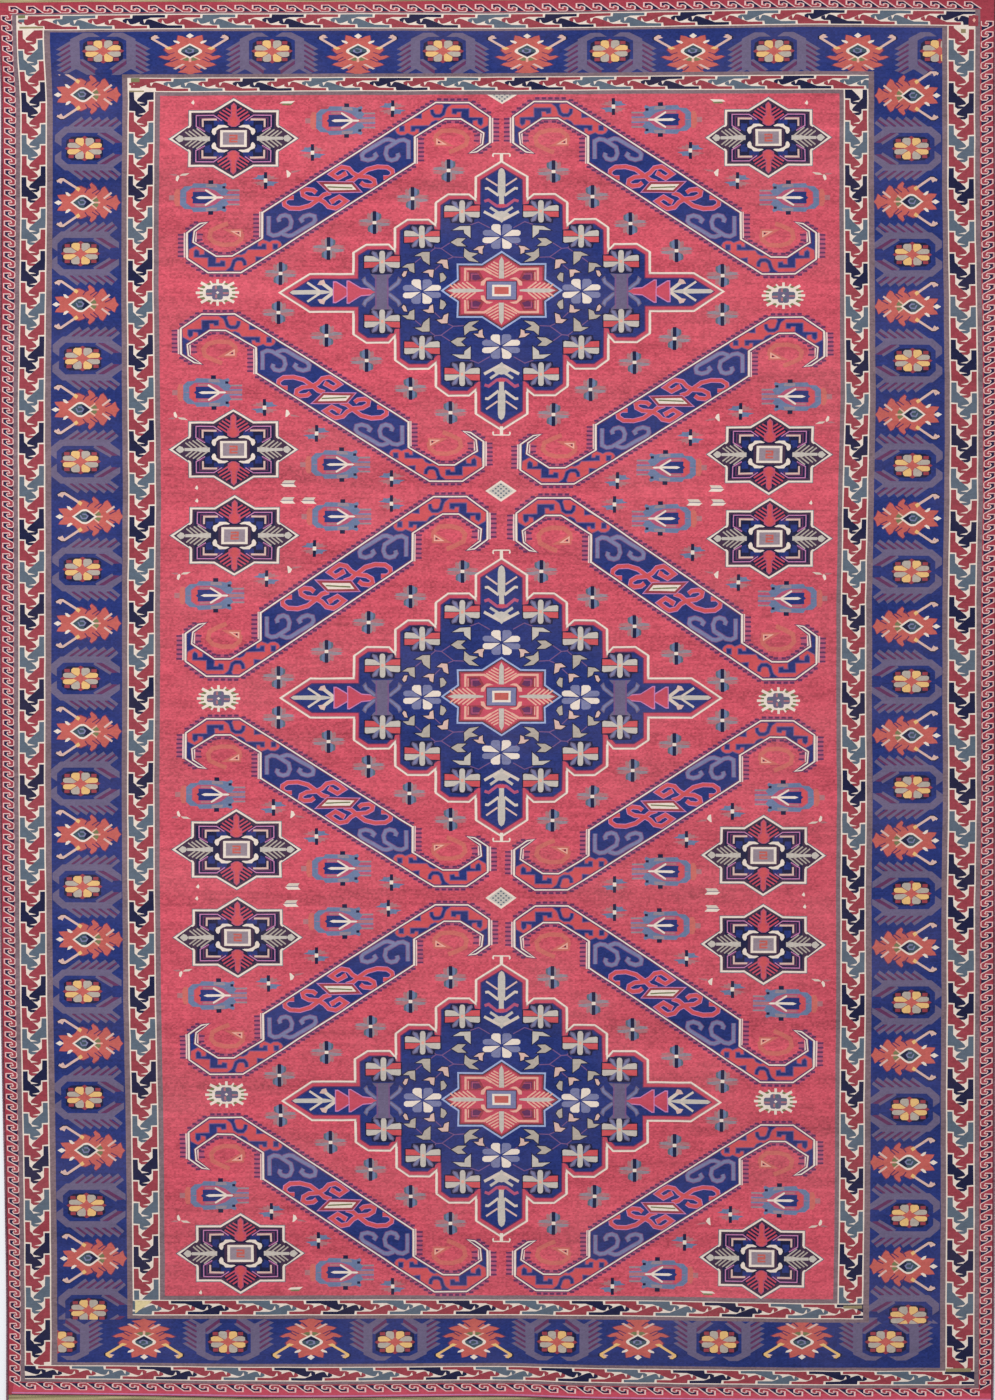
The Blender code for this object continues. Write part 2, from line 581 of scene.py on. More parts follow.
@dataclass
class Wardrobe:
    """Makes each finish once and hands it out."""

    made: dict[str, bpy.types.Material] = field(default_factory=dict)
    specular: float = 0.06
    sheen: float = 0.03
    sheen_roughness: float = 0.6
    pile_relief: float = 0.0012

    def start(self, name: str) -> tuple[bpy.types.Material, bpy.types.Node]:
        """Begins a finish.

        Args:
            name: the finish's name.

        Returns:
            The material and its shader.
        """
        material = bpy.data.materials.new(name)
        material.use_nodes = True
        shader = material.node_tree.nodes["Principled BSDF"]
        shader.inputs["Specular IOR Level"].default_value = self.specular
        shader.inputs["Sheen Weight"].default_value = self.sheen
        shader.inputs["Sheen Roughness"].default_value = self.sheen_roughness
        self.made[name] = material
        return material, shader

    @staticmethod
    def raise_relief(
        material: bpy.types.Material, height: bpy.types.NodeSocket, strength: float, distance: float
    ) -> None:
        """Lets a height stand out of the surface.

        Args:
            material: the finish.
            height: the height, about 0 to 1.
            strength: how strongly it shows.
            distance: how high it stands, in metres.
        """
        tree = material.node_tree
        bump = tree.nodes.new("ShaderNodeBump")
        bump.inputs["Strength"].default_value = strength
        bump.inputs["Distance"].default_value = distance
        tree.links.new(height, bump.inputs["Height"])
        tree.links.new(bump.outputs["Normal"], tree.nodes["Principled BSDF"].inputs["Normal"])

    def wool(self, name: str, finish: YarnFinish) -> bpy.types.Material:
        """Makes or finds the finish of a wool.

        Args:
            name: the wool's name.
            finish: its values.

        Returns:
            Its material.
        """
        name = f"{name} wool"
        if name in self.made:
            return self.made[name]
        material, shader = self.start(name)
        tree = material.node_tree
        effect = tree.nodes.new("ShaderNodeGroup")
        effect.node_tree = KnottedWool().build()
        effect.inputs["Dye"].default_value = linear(finish.colour)
        effect.inputs["Streak"].default_value = finish.streak
        effect.inputs["Wear"].default_value = finish.wear
        tree.links.new(effect.outputs["Colour"], shader.inputs["Base Color"])
        tree.links.new(effect.outputs["Roughness"], shader.inputs["Roughness"])
        self.raise_relief(material, effect.outputs["Height"], finish.bump, self.pile_relief)
        return material

    def kilim(self, name: str, finish: KilimFinish = KilimFinish()) -> bpy.types.Material:
        """Makes or finds the finish of a flat-woven part.

        Args:
            name: the finish's name.
            finish: its values.

        Returns:
            The material.
        """
        if name in self.made:
            return self.made[name]
        material, shader = self.start(name)
        links = material.node_tree.links
        tree = Tree(material.node_tree.nodes, links)
        weft = tree.noise((6.0, 260.0, 1.0), detail=3.0)
        warp_relief_shade = tree.noise((420.0, 160.0, 1.0), detail=2.0)
        colour = tree.mix(linear(finish.dark), linear(finish.light), tree.ramp(weft, 0.35, 0.65))
        # The warp noise that raises the weave's relief also darkens its colour where the relief is low:
        # painted shade in the grooves between the warps.
        colour = tree.lit(colour, tree.math("MULTIPLY_ADD", warp_relief_shade, 0.5, 0.75))
        links.new(colour, shader.inputs["Base Color"])
        links.new(tree.math("MULTIPLY_ADD", warp_relief_shade, 0.1, 0.85), shader.inputs["Roughness"])
        self.raise_relief(material, warp_relief_shade, finish.bump, finish.relief)
        return material


@dataclass(frozen=True)
class Window:
    """A rectangle of the chart: the extent of a ground, or the part that a run may be drawn on."""

    left: float
    top: float
    right: float
    bottom: float

    def outline(self) -> Shape:
        """Returns its four corners."""
        left, top, right, bottom = self.left, self.top, self.right, self.bottom
        return [(left, top), (right, top), (right, bottom), (left, bottom)]

    def clip(self, shape: Shape) -> Shape:
        """Cuts a shape off where it leaves the window.

        Args:
            shape: the outline.

        Returns:
            The outline of what is left, or nothing.
        """
        limits = ((0, self.left, 1), (0, self.right, -1), (1, self.top, 1), (1, self.bottom, -1))
        for axis, limit, way in limits:
            kept: Shape = []
            for start, end in zip(shape[-1:] + shape[:-1], shape):
                into, out_of = way * (end[axis] - limit), way * (start[axis] - limit)
                if (into < 0) != (out_of < 0):
                    share = out_of / (out_of - into)
                    kept.append(tuple(a + (b - a) * share for a, b in zip(start, end)))
                if into >= 0:
                    kept.append(end)
            shape = kept
        return shape


@dataclass
class Chart:
    """All shapes of the pattern in the order they are drawn, and the window that is open on it, if any."""

    shapes: list[tuple[Yarn, Shape]] = field(default_factory=list)
    window: Window | None = None


def unit(x: float, y: float) -> Point:
    """Returns the direction of a step, one long."""
    length = math.hypot(x, y) or 1.0
    return x / length, y / length


def mirrored_shape(quarter: Iterable[Point]) -> Shape:
    """Closes a quarter outline into a whole one.

    Args:
        quarter: points from the top of the shape, on its upright axis, to its right end.

    Returns:
        The outline of all four quarters, clockwise.
    """
    right = list(quarter)
    right += [(x, -y) for x, y in reversed(right[:-1])]
    return right + [(-x, y) for x, y in reversed(right[1:-1])]


def both_sides(half: Shape) -> Shape:
    """Closes half an outline, drawn from end to end of its lying axis, with its mirror image."""
    return half + [(x, -y) for x, y in reversed(half[1:-1])]


def shifted(shape: Sequence[Point], distance: float) -> Shape:
    """Moves each side of a clockwise outline inwards.

    Args:
        shape: the outline, clockwise as seen on the chart.
        distance: how far the sides move, negative for outwards.

    Returns:
        The new outline.
    """
    sharpest = 0.35  # keeps the points of narrow corners from running far out
    result = []
    for i, (x, y) in enumerate(shape):
        before, after = shape[i - 1], shape[(i + 1) % len(shape)]
        first = unit(x - before[0], y - before[1])
        second = unit(after[0] - x, after[1] - y)
        nx, ny = unit(-first[1] - second[1], first[0] + second[0])
        spread = max(sharpest, nx * -first[1] + ny * first[0])
        result.append((x + nx * distance / spread, y + ny * distance / spread))
    return result


def anticlockwise(shape: Shape) -> Shape:
    """Returns the shape with its points the way round that the cutting needs."""
    area = sum(x * v - u * y for (x, y), (u, v) in zip(shape, shape[1:] + shape[:1]))
    return shape if area > 0 else shape[::-1]


@dataclass(frozen=True)
class Place:
    """Where and how a motif is drawn: its chart, its centre there and its two directions."""

    chart: Chart
    x: float = 0.0
    y: float = 0.0
    across: Point = (1.0, 0.0)
    along: Point = (0.0, 1.0)

    def at(self, point: Point) -> Point:
        """Returns the motif's own point as a point of the chart."""
        (u, v), across, along = point, self.across, self.along
        return (self.x + u * across[0] + v * along[0], self.y + u * across[1] + v * along[1])

    def moved(self, u: float, v: float) -> "Place":
        """Returns the place with its centre moved within the motif."""
        x, y = self.at((u, v))
        return replace(self, x=x, y=y)

    def flipped(self, u: float = 1.0, v: float = 1.0) -> "Place":
        """Returns the place with its directions scaled, so -1 mirrors the motif."""
        a, b = self.across, self.along
        return replace(self, across=(a[0] * u, a[1] * u), along=(b[0] * v, b[1] * v))

    def corners(self) -> list["Place"]:
        """Returns the four mirrored copies of the place."""
        return [self.flipped(u, v) for u in (1, -1) for v in (1, -1)]

    def sides(self) -> list["Place"]:
        """Returns the place and its mirror image across."""
        return [self, self.flipped(-1, 1)]

    def ends(self) -> list["Place"]:
        """Returns the place and its mirror image along."""
        return [self, self.flipped(1, -1)]

    def turned(self) -> list["Place"]:
        """Returns the place and its half turn."""
        return [self, self.flipped(-1, -1)]

    def fill(self, yarn: Yarn, points: Iterable[Point]) -> None:
        """Draws a filled outline, or what the chart's window leaves of it.

        Args:
            yarn: the yarn.
            points: the outline, in the motif's own measure.
        """
        shape = [self.at(point) for point in points]
        if self.chart.window:
            shape = self.chart.window.clip(shape)
        if len(shape) > 2:
            self.chart.shapes.append((yarn, shape))

    def box(self, yarn: Yarn, half_width: float, half_height: float) -> None:
        """Draws a filled rectangle round the centre."""
        self.fill(yarn, Window(-half_width, -half_height, half_width, half_height).outline())

    def diamond(self, yarn: Yarn, half_width: float, half_height: float) -> None:
        """Draws a filled diamond round the centre."""
        self.fill(yarn, [(0, -half_height), (half_width, 0), (0, half_height), (-half_width, 0)])

    def layers(self, outline: Shape, *steps: tuple[Yarn, float]) -> None:
        """Draws an outline and then smaller ones within it.

        Args:
            outline: the clockwise outline of the largest layer.
            steps: each layer's yarn and how wide it shows before the next one begins.
        """
        for yarn, width in steps:
            self.fill(yarn, outline)
            outline = shifted(outline, width)

    def band(self, yarn: Yarn, path: Sequence[Point], width: float, closed: bool = False) -> None:
        """Draws a line of even width, mitred at its corners.

        Args:
            yarn: the yarn of the line.
            path: the points of the line's middle.
            width: how wide the line is.
            closed: whether the last point joins the first.
        """
        sharpest = 0.5  # keeps the mitre of a narrow corner short
        left, right = [], []
        count = len(path)
        for i, (x, y) in enumerate(path):
            before = path[i - 1] if i or closed else None
            after = path[(i + 1) % count] if i < count - 1 or closed else None
            into = unit(x - before[0], y - before[1]) if before else None
            out = unit(after[0] - x, after[1] - y) if after else into
            into = into or out
            nx, ny = unit(-into[1] - out[1], into[0] + out[0])
            reach = width / 2 / max(sharpest, nx * -into[1] + ny * into[0])
            left.append((x + nx * reach, y + ny * reach))
            right.append((x - nx * reach, y - ny * reach))
        for i in range(count if closed else count - 1):
            j = (i + 1) % count
            self.fill(yarn, [left[i], left[j], right[j], right[i]])


@dataclass(frozen=True)
class Motif:
    """A motif of the pattern at its place on the chart."""

    place: Place

    def draw(self) -> None:
        """Draws the motif, later strokes over earlier ones."""


@dataclass(frozen=True)
class PetalFlower(Motif):
    """A flower of eight petals in two yarns, wide as knots are."""

    half_width: float
    half_height: float
    first: Yarn
    second: Yarn

    def draw(self) -> None:
        """Draws the petals."""
        w, h = self.half_width, self.half_height
        upright = [
            (0.5, -1.4), (0.05 * w, -0.6 * h), (0.05 * w, -0.9 * h), (0.13 * w, -h), (0.43 * w, -h),
            (0.54 * w, -0.84 * h), (0.54 * w, -0.6 * h), (0.36 * w, -0.38 * h),
        ]
        lying = [
            (1.4, -0.3), (0.38 * w, -0.36 * h), (0.56 * w, -0.54 * h), (0.88 * w, -0.54 * h),
            (w, -0.42 * h), (w, -0.2 * h), (0.9 * w, -0.07 * h), (0.5 * w, -0.05 * h),
        ]
        for quarter, (u, v) in enumerate(((1, -1), (1, 1), (-1, 1), (-1, -1))):
            corner = self.place.flipped(u, -v)
            even = quarter % 2 == 0
            corner.fill(self.second if even else self.first, upright)
            corner.fill(self.first if even else self.second, lying)


class StarFeathers(Motif):
    """A quarter of the field star's red leaf and pale arrow."""

    def draw(self) -> None:
        """Draws the leaf and then the arrow."""
        self.place.fill(Yarn.ROSE, [(0, -36), (3, -33), (3, -23), (6, -20), (6, -14.2), (0, -10.8)])
        self.place.fill(Yarn.CORAL, [(0, -35), (2, -32), (2, -22), (4.6, -19), (4.6, -14.6), (0, -12)])
        for y, x in ((-15.5, 16), (-19.5, 14.5), (-23.5, 11.5), (-27.5, 8)):
            self.place.band(Yarn.BRIGHT_RED, [(3, y), (x, y - 0.62 * (x - 3))], 1.6)
        self.place.fill(Yarn.DARK_BROWN, [(22, 0), (38, -9), (47, -11), (62, 0)])
        self.place.fill(Yarn.PALE_TEAL, [(20, 0), (23, -2.2), (33, -2.6), (37, -1.5), (50, -1.5), (50, 0)])
        self.place.fill(Yarn.PALE_TEAL, [(50, 0), (52, -2.6), (55, -3.6), (59, 0)])
        for x in (26, 31.5, 37, 42):
            self.place.band(Yarn.PALE_GREY, [(x, -1.6), (x + 0.28 * (67 - x), -1.6 - 0.21 * (67 - x))], 1.4)


class StarMiddle(Motif):
    """The framed rectangle and white brackets in the field star's middle."""

    BRACKET = (
        (5, -12.0), (9, -13.8), (15.5, -13.8), (17.5, -11.4), (21.5, -9.8), (22.3, -7), (21, -4.4),
        (19.2, -3.6), (17.8, -5.5), (17.5, -8), (15, -10), (11, -11.3), (6.5, -11.3),
    )

    def draw(self) -> None:
        """Draws the frame, the brackets and what they hold."""
        self.place.fill(Yarn.NAVY, mirrored_shape([(0, -12), (15, -12), (24, -9), (24, 0)]))
        self.place.box(Yarn.DARK_BROWN, 16.5, 10.5)
        for corner in self.place.corners():
            corner.fill(Yarn.IVORY, self.BRACKET)
        self.place.box(Yarn.IVORY, 13.5, 8.5)
        self.place.box(Yarn.GREY, 10.8, 6.3)
        self.place.box(Yarn.ORANGE, 4.2, 4.0)
        for end in self.place.turned():
            end.moved(1.5, 1.7).box(Yarn.GREY, 3.6, 0.5)


class FieldStar(Motif):
    """The eight-pointed star of the field, with its feathers and framed middle."""

    OUTLINE = ((0, -40.3), (20.5, -28), (45.5, -28), (45.5, -13), (65.5, 0))

    def draw(self) -> None:
        """Draws the star."""
        outline = mirrored_shape(self.OUTLINE)
        self.place.fill(Yarn.TEAL, shifted(outline, -0.7))
        self.place.layers(outline, (Yarn.IVORY, 1.9), (Yarn.DARK_BROWN, 2.6), (Yarn.NAVY, 1.0))
        for corner in self.place.corners():
            corner.band(Yarn.IVORY, [(44.3, -27), (44.3, -13)], 2.4)
            corner.fill(Yarn.ROYAL_BLUE, [(9, -13), (11, -19), (20, -19), (20, -13)])
            corner.fill(Yarn.ROYAL_BLUE, [(22, -5), (22, -14), (29, -14), (29, -8)])
            corner.band(Yarn.LILAC, [(29, -7), (38, -12), (38, -23.2), (20, -23.2), (12, -18)], 1.0)
            corner.band(
                Yarn.PURPLE, [(30, -8.5), (34.6, -11.6), (34.6, -20.6), (20, -20.6), (15, -17.4)], 1.4,
            )
            corner.band(Yarn.CREAM_PINK, [(31.3, -11.5), (31.3, -19), (17, -19)], 1.9)
            StarFeathers(corner).draw()
        StarMiddle(self.place).draw()


class ScarabPalmette(Motif):
    """The small palmette of the field, with a blue core and an ivory arrow that points inwards."""

    def draw(self) -> None:
        """Draws the palmette."""
        for half in self.place.ends():
            half.fill(Yarn.PEACH, [(-36.8, 0), (-36.8, -4), (-35, -8.4), (-31, -8.4), (-31, 0)])
            half.fill(Yarn.DUSTY, [(-42, 0), (-42, -2.5), (-36.5, -2.5), (-36.5, 0)])
            for y, yarn in (
                (-6.8, Yarn.GREY), (-4.6, Yarn.ROSE), (-2.4, Yarn.GREY_BLUE), (-0.5, Yarn.DUSTY),
            ):
                half.band(yarn, [(15, y), (31, y)], 1.7)
            half.fill(Yarn.STEEL_BLUE, [
                (-30.6, 0), (-30.6, -7), (-26, -11), (-18.6, -11.4), (-16.6, -14), (7, -13.4), (12, -12.6),
                (16.4, -14.2), (18, -12.4), (16.4, -9.4), (19.6, -6), (16, -1.6),
            ])
            half.fill(Yarn.GREY, [(-4, -13.2), (7, -12.8), (8, -9.8), (-4, -10.2)])
            half.fill(Yarn.ROSE, [
                (-24.6, 0), (-24.6, -5.4), (-18.6, -9.6), (-3, -9.4), (6, -6.6), (14, -0.6), (14, 0),
            ])
            half.fill(Yarn.CORAL, [
                (-23.6, 0), (-23.6, -5), (-18.4, -8.4), (-16, -7.4), (-17.6, -4.6), (-17.6, 0),
            ])
            half.fill(Yarn.DUSTY, [(-15, -8.4), (-3, -8.2), (2, -6.4), (-15, -6.4)])
            half.fill(Yarn.ROYAL_BLUE, [
                (-19.6, 0), (-17.4, -1.8), (-17.8, -5.6), (-4, -5.6), (6, -0.6), (6, 0),
            ])
            half.band(Yarn.IVORY, [(-4.6, -7.4), (7, -0.6)], 1.7)
            half.moved(1.2, -15).box(Yarn.NAVY, 2.6, 1.8)
            half.moved(15, -9.8).box(Yarn.NAVY, 1.6, 1.2)
        shaft = [(-14.6, 0), (-11, -1.3), (7, -1.0), (13, -0.9), (14.6, 0)]
        self.place.fill(Yarn.IVORY, both_sides(shaft))


class Rosette(Motif):
    """The ivory rosette with rays, between the hooked bars."""

    RAYS = ((0, -13.2, 2.6), (7.4, -11.4, 1.7), (16.6, -9.9, 2.8), (19.8, -4.6, 1.7), (21.6, 0, 2.5))

    def draw(self) -> None:
        """Draws the rosette."""
        self.place.fill(Yarn.OLIVE, mirrored_shape([(0, -9.6), (9, -9.6), (17.5, -5.6), (17.5, 0)]))
        for corner in self.place.corners():
            for x, y, width in self.RAYS:
                corner.band(Yarn.IVORY, [(x * 0.5, y * 0.55), (x, y)], width)
        self.place.fill(
            Yarn.IVORY, mirrored_shape([(0, -9.2), (5, -9), (8, -7.6), (11, -6.8), (14.4, -3), (14.4, 0)]),
        )
        for corner in self.place.corners():
            corner.fill(Yarn.MAUVE, [
                (0, 0), (0, -6.8), (1.2, -7.4), (4, -7.2), (5.4, -5.8), (5.4, -3.8), (10.4, -3.6),
                (11.6, -2.4), (11.6, 0),
            ])
        for turn, (x, y) in enumerate(((0, -5.2), (8.3, -0.8), (0.2, 3.9), (-8.5, -0.3))):
            flat = turn % 2
            self.place.moved(x, y).moved(1.2 * (1 - flat), -1.0 * flat).box(
                Yarn.TEAL, 1.6 + 1.4 * flat, 2.0 - flat,
            )
            self.place.moved(x, y).moved(-1.6 * (1 - flat), 1.4 * flat).box(
                Yarn.DUSTY, 1.0 + 1.8 * flat, 1.8 - flat,
            )
        self.place.diamond(Yarn.IVORY, 1.8, 1.4)


@dataclass(frozen=True)
class CrossFlower(Motif):
    """The small cross flower that fills the field: a navy bar with soft quarters and rays."""

    half_height: float = 11.5
    half_width: float = 17

    def draw(self) -> None:
        """Draws the flower."""
        h, w = self.half_height, self.half_width
        for half in self.place.turned():
            other = half.flipped(-1, 1)
            for yarn, side in ((Yarn.GREY, other), (Yarn.DUSTY, half)):
                side.fill(yarn, [(2, 0.2), (w, -0.6), (w - 3, -1.6), (w - 1, -2.8), (8, -3.8), (2, -3.4)])
            other.fill(Yarn.DUSTY, [
                (3, -2.6), (6, -3), (7.2, -5), (7.4, -8.4), (6, -9.8), (4.4, -8.6), (3, -9),
            ])
            other.fill(Yarn.GREY, [(1.6, -1), (3.4, -2.6), (4, -8), (3, -10.2), (1.6, -10.6)])
            half.fill(Yarn.TEAL, [(3, -2.6), (5.6, -3), (7, -5), (6.8, -8.4), (5.6, -9.4), (3.4, -9.4)])
            half.fill(Yarn.STEEL_BLUE, [
                (1.6, -1), (4, -3), (4.8, -5), (4.8, -8.4), (3.4, -10.4), (1.6, -10.8),
            ])
        self.place.box(Yarn.NAVY, 1.8, h)
        self.place.box(Yarn.IVORY, 1.9, 1.6)


class SmallCross(Motif):
    """The smaller cross flower, above and below the hooked bars."""

    def draw(self) -> None:
        """Draws the flower."""
        for half in self.place.turned():
            half.fill(Yarn.DUSTY, [
                (1.5, -0.4), (14, -2.6), (8, -3.2), (9, -5), (5.4, -4.4), (4, -6.4), (1.5, -5),
            ])
            half.flipped(-1, 1).fill(Yarn.STEEL_BLUE, [
                (1.5, -0.4), (13.5, -1.6), (8.6, -3.4), (8, -5.6), (4.4, -5.2), (1.5, -6),
            ])
        self.place.box(Yarn.NAVY, 1.6, 8.4)
        self.place.box(Yarn.IVORY, 1.8, 2.0)


@dataclass(frozen=True)
class Tick(Motif):
    """A loose mark of the field: an ivory leaf with a faint streak or an ivory dash beside it."""

    dash: bool = False

    def draw(self) -> None:
        """Draws the tick."""
        if self.dash:
            self.place.fill(Yarn.DUSTY, [(-14, -2.4), (-7, -2.8), (-6, -1.2), (-10, -0.8)])
            self.place.fill(Yarn.IVORY, [(-5.2, -1.6), (-4, 0.4), (-6, 4.8), (-7.8, 3.6), (-7.4, 0.2)])
            self.place.fill(Yarn.CREAM, [(-4.2, -0.9), (-1.2, -3.0), (6.4, -3.6), (2.4, -1.1)])
        else:
            self.place.fill(Yarn.DUSTY, [(3, -2.6), (13, -3.4), (8, -1.4), (3, -0.6)])
            self.place.fill(Yarn.IVORY, [(-2.2, -3.6), (-0.6, -3.2), (2.6, -0.2), (1, 3), (-1.4, 4)])


@dataclass(frozen=True)
class Dash(Motif):
    """A loose leaning dash of the field, single with its shadow or doubled."""

    double: bool = False

    def draw(self) -> None:
        """Draws the dash."""
        if self.double:
            self.place.box(Yarn.GREY, 6, 0.6)
            self.place.fill(Yarn.CREAM, [(-6.6, -0.5), (-3.8, -3.2), (7.2, -3.2), (5, -0.5)])
            self.place.fill(Yarn.IVORY, [(-8, 0.5), (5, 0.5), (8, 3.2), (-4.6, 3.2)])
        else:
            self.place.fill(Yarn.OLIVE, [(-5, 2.6), (-3, 0.8), (7, 0.8), (4, 2.6)])
            self.place.fill(Yarn.IVORY, [(-7, 0.9), (-4, -1.1), (8.6, -1.6), (5, 0.9)])


class BirdHead(Motif):
    """What fills one hook of the bar, with the curl and the triangle of a bird's head."""

    GROUND = (
        (57, -60.5), (56, -57), (58, -54), (61.5, -52.3), (66, -52.5), (68.8, -54.2), (71.5, -53),
        (75.8, -51.5), (106, -68.8), (122, -69.3), (139, -57.5), (143, -58.5), (149.5, -62), (150.5, -70.5),
        (129.5, -84.3), (97, -84.3),
    )
    BLUES = (
        ((75, -70.5), (82, -74.5), (82, -70)), ((61, -61.5), (65, -61.5), (65, -57), (61, -57)),
        (
            (72.5, -61.5), (90.5, -61.8), (93, -65.5), (97, -67.3), (100, -66.5), (82, -55), (80.5, -55.5),
            (80.5, -59.3), (76.5, -59.3), (75.5, -57), (72.5, -57),
        ),
        ((104, -84.5), (113, -84.5), (106, -79.5)),
        (
            (113.5, -79), (129.5, -79), (129.5, -70), (143.5, -69.5), (143.5, -64.5), (142, -62.5),
            (139.5, -64), (139, -68.3), (133.5, -67.5), (133, -63.5), (122.5, -70), (122.8, -76.3),
            (118, -76.3), (117, -74), (113.5, -74.5),
        ),
    )
    TURN = ((108, -83.5), (105.5, -79), (104, -74), (101, -72), (96, -72), (93.6, -74.5), (93, -78.5))
    CURL = (
        (96, -46), (97, -52), (103, -57), (115, -57.5), (124, -55), (128.5, -50), (127, -43), (118, -38.5),
        (110, -35.5),
    )

    def draw(self) -> None:
        """Draws the ground, the blue parts and the curl."""
        self.place.fill(Yarn.LILAC_DARK, self.GROUND)
        self.place.fill(Yarn.CORAL, shifted(self.GROUND, -0.9))
        self.place.band(Yarn.LILAC_DARK, self.TURN, 4.6)
        for blue in self.BLUES:
            self.place.fill(Yarn.LILAC_DARK, shifted(blue, -1.0))
        for blue in self.BLUES:
            self.place.fill(Yarn.ROYAL_BLUE, blue)
        self.place.band(Yarn.ROYAL_BLUE, self.TURN, 2.6)
        self.place.band(Yarn.PEACH, self.CURL, 4.4)
        self.place.fill(Yarn.PEACH, [(95.4, -52.6), (95.4, -41.4), (115.5, -41.4)])
        self.place.fill(Yarn.PEACH_CREAM, [(97.2, -49.6), (97.2, -43.2), (108, -43.2)])
        self.place.fill(Yarn.CORAL, [(98.6, -47.4), (98.6, -44.4), (103.6, -44.4)])
        self.place.moved(99.8, -45.4).box(Yarn.DARK_BROWN, 0.9, 0.7)


class BarScrolls(Motif):
    """The red and the mauve scrolls of half the bar."""

    RED_SCROLLS = (
        (
            (18.7, -11), (28.7, -18.3), (38.7, -21), (48.7, -20.5), (53.7, -17.2), (54.3, -12.7),
            (50.4, -9.9), (44.6, -9.9),
        ),
        ((19, -11.4), (29.8, -10.5), (35.4, -7.4), (36.2, -3.6), (32.1, -1.6), (25.4, -2.4), (22.1, -4.9)),
        (
            (19.5, -11.8), (14.4, -14.6), (10, -19.4), (3, -20.8), (-1.4, -18.4), (-7.6, -13.6), (-1, -9.4),
            (6.4, -13.4), (5, -16),
        ),
        ((18.7, -11), (14.3, -7.2), (7.6, -5)),
    )
    MAUVE_SCROLLS = (
        (
            (69.6, -28.5), (69.6, -46), (65, -48.2), (60, -47.4), (52, -42.4), (48, -40), (46.8, -34),
            (49, -29), (53, -27.6), (57.6, -28.8), (59.6, -31.6), (58.6, -34.5),
        ),
        (
            (56, -46.5), (50, -48.6), (46, -48), (36, -42), (25, -36), (23, -33), (23.8, -29), (29, -27.6),
            (34.6, -29.2), (37.4, -32), (35.5, -35),
        ),
    )

    def draw(self) -> None:
        """Draws each scroll with its outline."""
        for yarn, width in ((Yarn.LILAC, 4.9), (Yarn.CORAL, 3.5)):
            for path in self.RED_SCROLLS:
                self.place.band(yarn, path, width)
        for yarn, width in ((Yarn.LILAC_DARK, 4.8), (Yarn.GREY_BLUE, 3.2)):
            for path in self.MAUVE_SCROLLS:
                self.place.band(yarn, path, width)


@dataclass(frozen=True)
class DashRow(Motif):
    """The dark dashes and the rose between them along one straight stretch, on its left."""

    start: Point
    stop: Point

    def draw(self) -> None:
        """Draws the rose and then the dashes."""
        start, stop = self.start, self.stop
        run = math.hypot(stop[0] - start[0], stop[1] - start[1])
        dx, dy = unit(stop[0] - start[0], stop[1] - start[1])
        nx, ny = dy, -dx
        pitch = 7.2 - 2.6 * abs(dy)
        count = max(1, round(run / pitch))
        upright = abs(nx) > 0.9
        near, far = (3.4, 8.6) if upright else (1.4, 4.4)
        self.place.fill(Yarn.ROSE, [
            (start[0] + nx * near, start[1] + ny * near), (stop[0] + nx * near, stop[1] + ny * near),
            (stop[0] + nx * far - dx * 2, stop[1] + ny * far - dy * 2),
            (start[0] + nx * far + dx * 2, start[1] + ny * far + dy * 2),
        ])
        middle, half_width, half_height = (6.2, 3.0, 0.9) if upright else (3.2, 2.2, 1.1)
        for number in range(count):
            at = (number + 0.5) * run / count
            x, y = start[0] + dx * at, start[1] + dy * at
            self.place.moved(x + nx * middle, y + ny * middle).box(Yarn.PURPLE, half_width, half_height)


@dataclass(frozen=True)
class HookedBar(Motif):
    """The diagonal blue bar with a hook at each end, ivory outlined and fringed with dashes."""

    line: float = 1.4

    OUTER = (
        (-76, 25), (55, -59.3), (97, -85.6), (130, -85.6), (151, -71), (151, -45), (138, -36), (131, -34.8),
    )
    INNER = ((143.6, -43.5), (144.7, -54.5), (122, -69), (106, -69), (76, -51))

    def draw(self) -> None:
        """Draws the bar."""
        side = list(self.OUTER + self.INNER)
        outline = side + [(-x, -y) for x, y in side]
        for half in self.place.turned():
            for path in (self.OUTER[:7], self.INNER + ((76, -25),)):
                for start, stop in zip(path, path[1:]):
                    DashRow(half, start, stop).draw()
        self.place.fill(Yarn.ROYAL_BLUE, outline)
        for half in self.place.turned():
            BirdHead(half).draw()
            BarScrolls(half).draw()
        for half in self.place.turned():
            for x, top, bottom in ((152.9, -70, -45), (77.6, -50, -24), (142.6, -56, -43.5)):
                half.band(Yarn.HOOK_LINE, [(x, top), (x, bottom)], 2.6)
        self.place.band(Yarn.PURPLE, outline, 3.4, closed=True)
        self.place.band(Yarn.IVORY, outline, self.line, closed=True)
        for half in self.place.turned():
            for x, top, bottom in ((151, -70.5, -45), (76, -51, -24)):
                half.band(Yarn.IVORY, [(x, top), (x, bottom)], self.line + 0.7)
        frame = [(-22.4, -6.6), (14.6, -6.2), (24.4, 5.0), (-9.6, 5.6)]
        self.place.layers(frame, (Yarn.LILAC, 0.8), (Yarn.GUARD_RED, 2.2), (Yarn.IVORY, 2.2))
        self.place.band(Yarn.OLIVE, [(-11, -0.8), (14, 0.3)], 1.4)


class Finial(Motif):
    """The small ivory finial on a tip of the medallion."""

    def draw(self) -> None:
        """Draws the stem, the bar and the two curls."""
        self.place.moved(0, -134).box(Yarn.IVORY, 1.6, 4)
        self.place.band(Yarn.IVORY, [(-8, -138.2), (8, -138.2)], 1.2)
        for side in self.place.sides():
            side.fill(Yarn.IVORY, [
                (6.4, -138.8), (8.8, -138.4), (9.4, -136), (8.4, -134.6), (7.4, -135.4), (7.8, -137),
            ])


